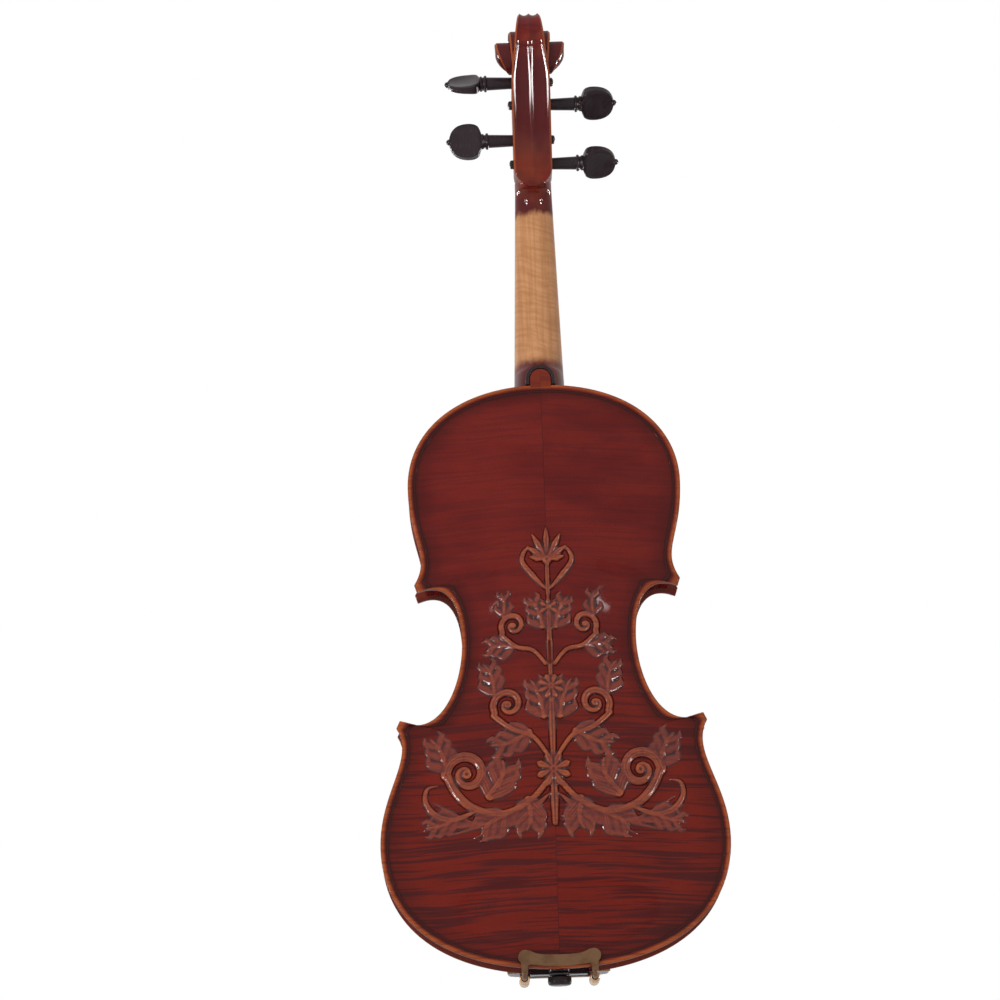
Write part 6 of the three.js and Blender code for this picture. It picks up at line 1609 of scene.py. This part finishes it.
def kept(finish, bevel, *nodes):
    """Nodes whose packed form stays, with a finish and softened edges."""
    for name in nodes:
        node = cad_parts[name]
        node.data.materials.clear()
        node.data.materials.append(finish_of(finish))
        if bevel:
            soften(node, bevel, 40.0, 1)


class VIOLIN_OT_back(bpy.types.Operator):
    """Builds the arched back with its inlaid line, its button and the button's dark crown"""

    bl_idname = "violin.back"
    bl_label = "Back plate"

    def execute(self, context):
        bevel = context.scene.violin_sizes.bevel / MM
        shell, values = plate_shell(BACK_ARCH, back_level)
        button = half_round(6.4, 0.0, 354.6, -0.15, 4.0, 0.5)
        values = {key: np.concatenate([numbers, np.full(len(button[0]), 0.2 if key == "worn" else 0.0)])
                  for key, numbers in values.items()}
        made = new_object("back", merged(shell, button), "back", values)
        soften(made, bevel * 0.5, 50.0)
        settle(made, ROOT_BODY, "varnished_maple", "back_plate")
        body_piece("back_inlay", inlay_shell(back_level), "inlay", "back_purfling")
        body_piece("crown", half_round(9.0, 6.7, 356.3, -0.4, 4.0, 0.5), "ebony", "button_crown", bevel=bevel * 0.5)
        return {"FINISHED"}


class VIOLIN_OT_carving(bpy.types.Operator):
    """Lays the leaf and scroll carving on the back"""

    bl_idname = "violin.carving"
    bl_label = "Carving"

    def execute(self, context):
        shell, values = carving_shell(bpy.data.objects["back"], context.scene.violin_sizes)
        settle(new_object("carving", shell, "carving", values), ROOT_BODY, "varnished_maple")
        return {"FINISHED"}


class VIOLIN_OT_belly(bpy.types.Operator):
    """Builds the arched belly with its sound holes and inlaid lines"""

    bl_idname = "violin.belly"
    bl_label = "Belly"

    def execute(self, context):
        shell, values = plate_shell(BELLY_ARCH, belly_level)
        plate = new_object("belly", shell, "belly", values)
        holes = [prism(outline, 30.0, 62.0) for side in (1, -1) for outline in sound_hole(side)]
        gaps = [boxed((-17.8, 30.0, -5.0), (17.8, 62.0, 6.7)), boxed((-14.5, 30.0, 348.0), (14.5, 62.0, 366.0))]
        carved(plate, "DIFFERENCE", *[new_object("cutter", shell) for shell in holes + gaps])
        settle(plate, ROOT_BODY, "varnished_maple", "belly_plate")
        strip = new_object("belly_inlay", inlay_shell(belly_level), "inlay")
        carved(strip, "DIFFERENCE", *[new_object("cutter", shell) for shell in gaps])
        settle(strip, ROOT_BODY, "inlay", "belly_purfling_bass", "belly_purfling_treble")
        return {"FINISHED"}


RIB_INSETS = (2.8, 4.0)
RIBS = {  # name: its two stretches, and the shares of them where it starts and ends
    "upper_rib": (("top", "side"), 0.108, 0.91),
    "waist_rib": (("waist_top", "waist_end"), 0.1, 0.9),
    "lower_rib": (("lower_side", "bottom"), 0.1, 1.0),
}


def rib_strip(names, low, high):
    """The outer and the inner face of a bent rib along two stretches, as points in X and Z."""
    pieces = []
    for k, name in enumerate(names):
        shares = np.linspace(low if k == 0 else 0.0, high if k == len(names) - 1 else 1.0, 61)
        pieces.append([on_stretch(name, shares, inset)[0][k:] for inset in RIB_INSETS])
    return [np.concatenate(faces) for faces in zip(*pieces)]


def rib_shell(outer, inner):
    """A rib's shell, and the run along it at every point."""
    run = np.concatenate([[0.0], np.cumsum(np.linalg.norm(np.diff(outer, axis=0), axis=1))])
    rings = []
    for (ox, oz), (ix, iz) in zip(outer, inner):
        rings.append([(ox, RIB_FROM, oz), (ox, RIB_TO, oz), (ix, RIB_TO, iz), (ix, RIB_FROM, iz)])
    return skin(rings), np.repeat(run, 4)


def rib_piece(node, outer, inner):
    shell, run = rib_shell(outer, inner)
    body_piece(node.replace("rib", "side"), shell, "ribs", node, values={"run": run}, bevel=0.12, angle=50.0)


class VIOLIN_OT_ribs(bpy.types.Operator):
    """Builds the five bent ribs"""

    bl_idname = "violin.ribs"
    bl_label = "Ribs"

    def execute(self, context):
        for side, word in ((1, "bass"), (-1, "treble")):
            for name in ("upper_rib", "waist_rib"):
                outer, inner = rib_strip(*RIBS[name])
                rib_piece(f"{name}_{word}", outer * (side, 1), inner * (side, 1))
        rib_piece("lower_rib", *[np.concatenate([face, face[:-1][::-1] * (-1, 1)])
                                 for face in rib_strip(*RIBS["lower_rib"])])
        return {"FINISHED"}


def edged(piece):
    """Gives a second finish to the faces whose points are all worn: the narrow bevels of the head."""
    mesh = piece.data
    mesh.materials.append(finish_of("neck_edge"))
    worn = mesh.attributes["worn"].data
    for face in mesh.polygons:
        face.material_index = int(all(worn[k].value > 0.95 for k in face.vertices))


class VIOLIN_OT_neck(bpy.types.Operator):
    """Builds the neck, the pegbox and the scroll as one carved piece"""

    bl_idname = "violin.neck"
    bl_label = "Neck and scroll"

    def execute(self, context):
        sizes = context.scene.violin_sizes
        shell = neck_shell()
        made = new_object("neck_carved", shell, "neck", {"worn": np.zeros(len(shell[0]))})
        shell, worn = pegbox_shell(sizes)
        head = new_object("head", shell, "neck", {"worn": worn})
        edged(head)
        carved(head, "INTERSECT", new_object("cutter", chin_round()))
        with_modifier(head, "BEVEL", width=0.8 * MM, segments=1, limit_method="ANGLE", angle_limit=math.radians(70),
                      material=1)
        applied(head)
        shell, worn = volute_shell(sizes)
        scroll = new_object("scroll", shell, "neck", {"worn": worn})
        edged(made)
        edged(scroll)
        carved(made, "UNION", head, scroll)
        cutters = [new_object("cutter", cavity_shell())]
        for name, (_, side, _, _) in PEGS.items():
            y, z = peg_axis(name)
            ends = [(shank_radius(x) + GLUE, side * x) for x in (-16.0, 16.0)]
            cutters.append(new_object("cutter", turned(ends if side > 0 else ends[::-1], 32, (0.0, y, z), "x")))
        carved(made, "DIFFERENCE", *cutters)
        made.data.set_sharp_from_angle(angle=math.radians(38.0))
        settle(made, ROOT_BODY, "varnished_maple", "neck_and_scroll")
        return {"FINISHED"}


class VIOLIN_OT_pegs(bpy.types.Operator):
    """Builds the four turned pegs"""

    bl_idname = "violin.pegs"
    bl_label = "Pegs"

    def execute(self, context):
        for name in PEGS:
            body_piece(f"turned_peg_{name}", placed_peg(name), "ebony", f"peg_{name}", body=f"peg_{name}",
                       bevel=0.12, angle=60.0)
        return {"FINISHED"}


class VIOLIN_OT_board(bpy.types.Operator):
    """Builds the fingerboard and the nut"""

    bl_idname = "violin.board"
    bl_label = "Fingerboard and nut"

    def execute(self, context):
        bevel = context.scene.violin_sizes.bevel / MM
        body_piece("board", board_shell(), "ebony", "fingerboard", bevel=bevel, angle=45.0)
        body_piece("top_nut", nut_shell(), "ebony", "nut", bevel=bevel * 0.6, angle=45.0)
        return {"FINISHED"}


class VIOLIN_OT_bridge(bpy.types.Operator):
    """Builds the bridge with its heart and side cuts"""

    bl_idname = "violin.bridge"
    bl_label = "Bridge"

    def execute(self, context):
        made = new_object("carved_bridge", bridge_shell(), "bridge")
        carved(made, "DIFFERENCE", new_object("cutter", heart_shell()))
        soften(made, context.scene.violin_sizes.bevel / MM * 0.6, 50.0)
        settle(made, ROOT_BODY, "bridge_wood", "bridge")
        return {"FINISHED"}


class VIOLIN_OT_tail(bpy.types.Operator):
    """Builds the tailpiece, its cord, the saddle and the end button"""

    bl_idname = "violin.tail"
    bl_label = "Tailpiece and end button"

    def execute(self, context):
        bevel = context.scene.violin_sizes.bevel / MM
        made = new_object("tail", tail_shell(), "ebony")
        cutters = []
        for name in "gda":
            radius, spread = STRING_SET[name]
            x = spread * TAIL_SPREAD
            slot_half, top = radius + 0.35, tail_top(x, HOLES)
            hole = turned([(1.75, -3.0), (1.75, top + 3.0)], 28, (x, 0.0, HOLES))
            slit = boxed((x - slot_half, top - 2.9, HOLES), (x + slot_half, top + 4.0, 99.8))
            cutters += [new_object("cutter", (on_tail(points), faces)) for points, faces in (hole, slit)]
        carved(made, "DIFFERENCE", *cutters)
        soften(made, bevel * 0.5, 50.0)
        settle(made, ROOT_BODY, "black_wood", "tailpiece")
        body_piece("tail_cord", gut_shell(), "cord", "tail_gut")
        body_piece("tail_saddle", saddle_shell(), "ebony", "saddle", bevel=bevel, angle=45.0)
        body_piece("button", button_shell(), "ebony", "end_button", bevel=0.1, angle=60.0)
        return {"FINISHED"}


class VIOLIN_OT_strings(bpy.types.Operator):
    """Builds the four strings and their coils on the pegs"""

    bl_idname = "violin.strings"
    bl_label = "Strings"

    def execute(self, context):
        for name in PEGS:
            finish = "steel" if name == "e" else "wound"
            body_piece(f"wire_{name}", string_shell(name), finish, f"string_{name}")
            body_piece(f"coil_{name}", winding_shell(name), finish, f"winding_{name}", body=f"peg_{name}")
        return {"FINISHED"}


class VIOLIN_OT_tuner(bpy.types.Operator):
    """Finishes the fine tuner's bracket and lever and builds its knurled screw"""

    bl_idname = "violin.tuner"
    bl_label = "Fine tuner"

    def execute(self, context):
        kept("steel", 0.15, "tuner_bracket", "tuner_lever")
        body_piece("knurled_screw", screw_shell(), "steel", "tuner_screw", body="screw", bevel=0.1, angle=50.0)
        return {"FINISHED"}


class VIOLIN_OT_chinrest(bpy.types.Operator):
    """Builds the chinrest and finishes the cork under it"""

    bl_idname = "violin.chinrest"
    bl_label = "Chinrest"

    def execute(self, context):
        made = new_object("chin_cup", cup_shell(), "ebony")
        parts = [rounded_box(-31.0, 31.0, 1.6, 26.0, 5.0, 58.0, 62.0),
                 rounded_box(-31.0, 31.0, 7.2, 13.0, 2.0, 41.6, 46.1)]
        for side in (1, -1):
            low, high = sorted((side * 18.6, side * 31.0))
            parts.append(rounded_box(low, high, 1.6, 13.0, 2.5, 41.6, 59.0))
        carved(made, "UNION", *[new_object("part", shell) for shell in parts])
        soften(made, 0.8, 35.0, 3)
        settle(made, ROOT_BODY, "black_wood", "chinrest")
        kept("cork", 0.2, "chinrest_cork")
        return {"FINISHED"}


class VIOLIN_OT_clamp(bpy.types.Operator):
    """Builds the chinrest's clamp: the bracket, the plate behind the back and the two turned barrels"""

    bl_idname = "violin.clamp"
    bl_label = "Clamp"

    def execute(self, context):
        bracket = new_object("bracket", rounded_box(-23.6, 23.6, -0.2, 1.3, 0.7, 50.0, 56.5), "gilt")
        carved(bracket, "UNION", *[new_object("part", bracket_rods(side)) for side in (1, -1)])
        soften(bracket, 0.3, 50.0)
        settle(bracket, ROOT_BODY, "gilt_metal", "clamp_bracket")
        plate = new_object("back_clip", prism(clamp_outline(), -3.0, -1.5), "gilt")
        carved(plate, "UNION", *[new_object("part", plate_rods(side)) for side in (1, -1)])
        # The plate's bevels get the brighter gilt: partly worn gilt, partly a painted highlight.
        plate.data.materials.append(finish_of("gilt_edge"))
        with_modifier(plate, "BEVEL", width=0.35 * MM, segments=2, limit_method="ANGLE",
                      angle_limit=math.radians(50), material=1)
        with_modifier(plate, "WEIGHTED_NORMAL", keep_sharp=True, weight=60)
        settle(plate, "back_clamp", "gilt_metal", "clamp_plate")
        for side, word in ((1, "bass"), (-1, "treble")):
            made = new_object(f"turned_barrel_{word}", barrel_shell(side), "gilt_edge")
            hole = turned([(0.8, -6.0), (0.8, 6.0)], 20, (side * ROD_X, 23.5, ROD_Z), "x")
            carved(made, "DIFFERENCE", new_object("cutter", hole))
            settle(made, f"barrel_{word}", "gilt_metal", f"clamp_barrel_{word}")
        return {"FINISHED"}


class VIOLIN_OT_inside(bpy.types.Operator):
    """Finishes the blocks, linings, bass bar and sound post inside the body"""

    bl_idname = "violin.inside"
    bl_label = "Inside"

    def execute(self, context):
        inner = [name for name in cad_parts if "lining" in name or "block" in name]
        kept("inner", 0.0, *inner, "bass_bar", "sound_post")
        return {"FINISHED"}


BUILDERS = (VIOLIN_OT_stage, VIOLIN_OT_back, VIOLIN_OT_carving, VIOLIN_OT_belly, VIOLIN_OT_ribs, VIOLIN_OT_neck,
            VIOLIN_OT_pegs, VIOLIN_OT_board, VIOLIN_OT_bridge, VIOLIN_OT_tail, VIOLIN_OT_strings, VIOLIN_OT_tuner,
            VIOLIN_OT_chinrest, VIOLIN_OT_clamp, VIOLIN_OT_inside)


class VIOLIN_PT_panel(bpy.types.Panel):
    """Sizes, colours and builders in the 3D view's sidebar"""

    bl_idname = "VIOLIN_PT_panel"
    bl_label = "Carved violin"
    bl_space_type = "VIEW_3D"
    bl_region_type = "UI"
    bl_category = "Violin"

    def draw(self, context):
        for group in (context.scene.violin_sizes, context.scene.violin_colours):
            box = self.layout.box()
            for key in group.__annotations__:
                box.prop(group, key)
        column = self.layout.column(align=True)
        for builder in BUILDERS:
            column.operator(builder.bl_idname)


GROUPS = (ViolinSizes, ViolinColours)


def register():
    for made in (*GROUPS, *BUILDERS, VIOLIN_PT_panel):
        bpy.utils.register_class(made)
    bpy.types.Scene.violin_sizes = bpy.props.PointerProperty(type=ViolinSizes)
    bpy.types.Scene.violin_colours = bpy.props.PointerProperty(type=ViolinColours)


def unregister():
    del bpy.types.Scene.violin_sizes
    del bpy.types.Scene.violin_colours
    for made in (VIOLIN_PT_panel, *BUILDERS[::-1], *GROUPS[::-1]):
        bpy.utils.unregister_class(made)


def main():
    register()
    for builder in BUILDERS:
        group, name = builder.bl_idname.split(".")
        getattr(getattr(bpy.ops, group), name)()


if __name__ == "__main__":
    main()
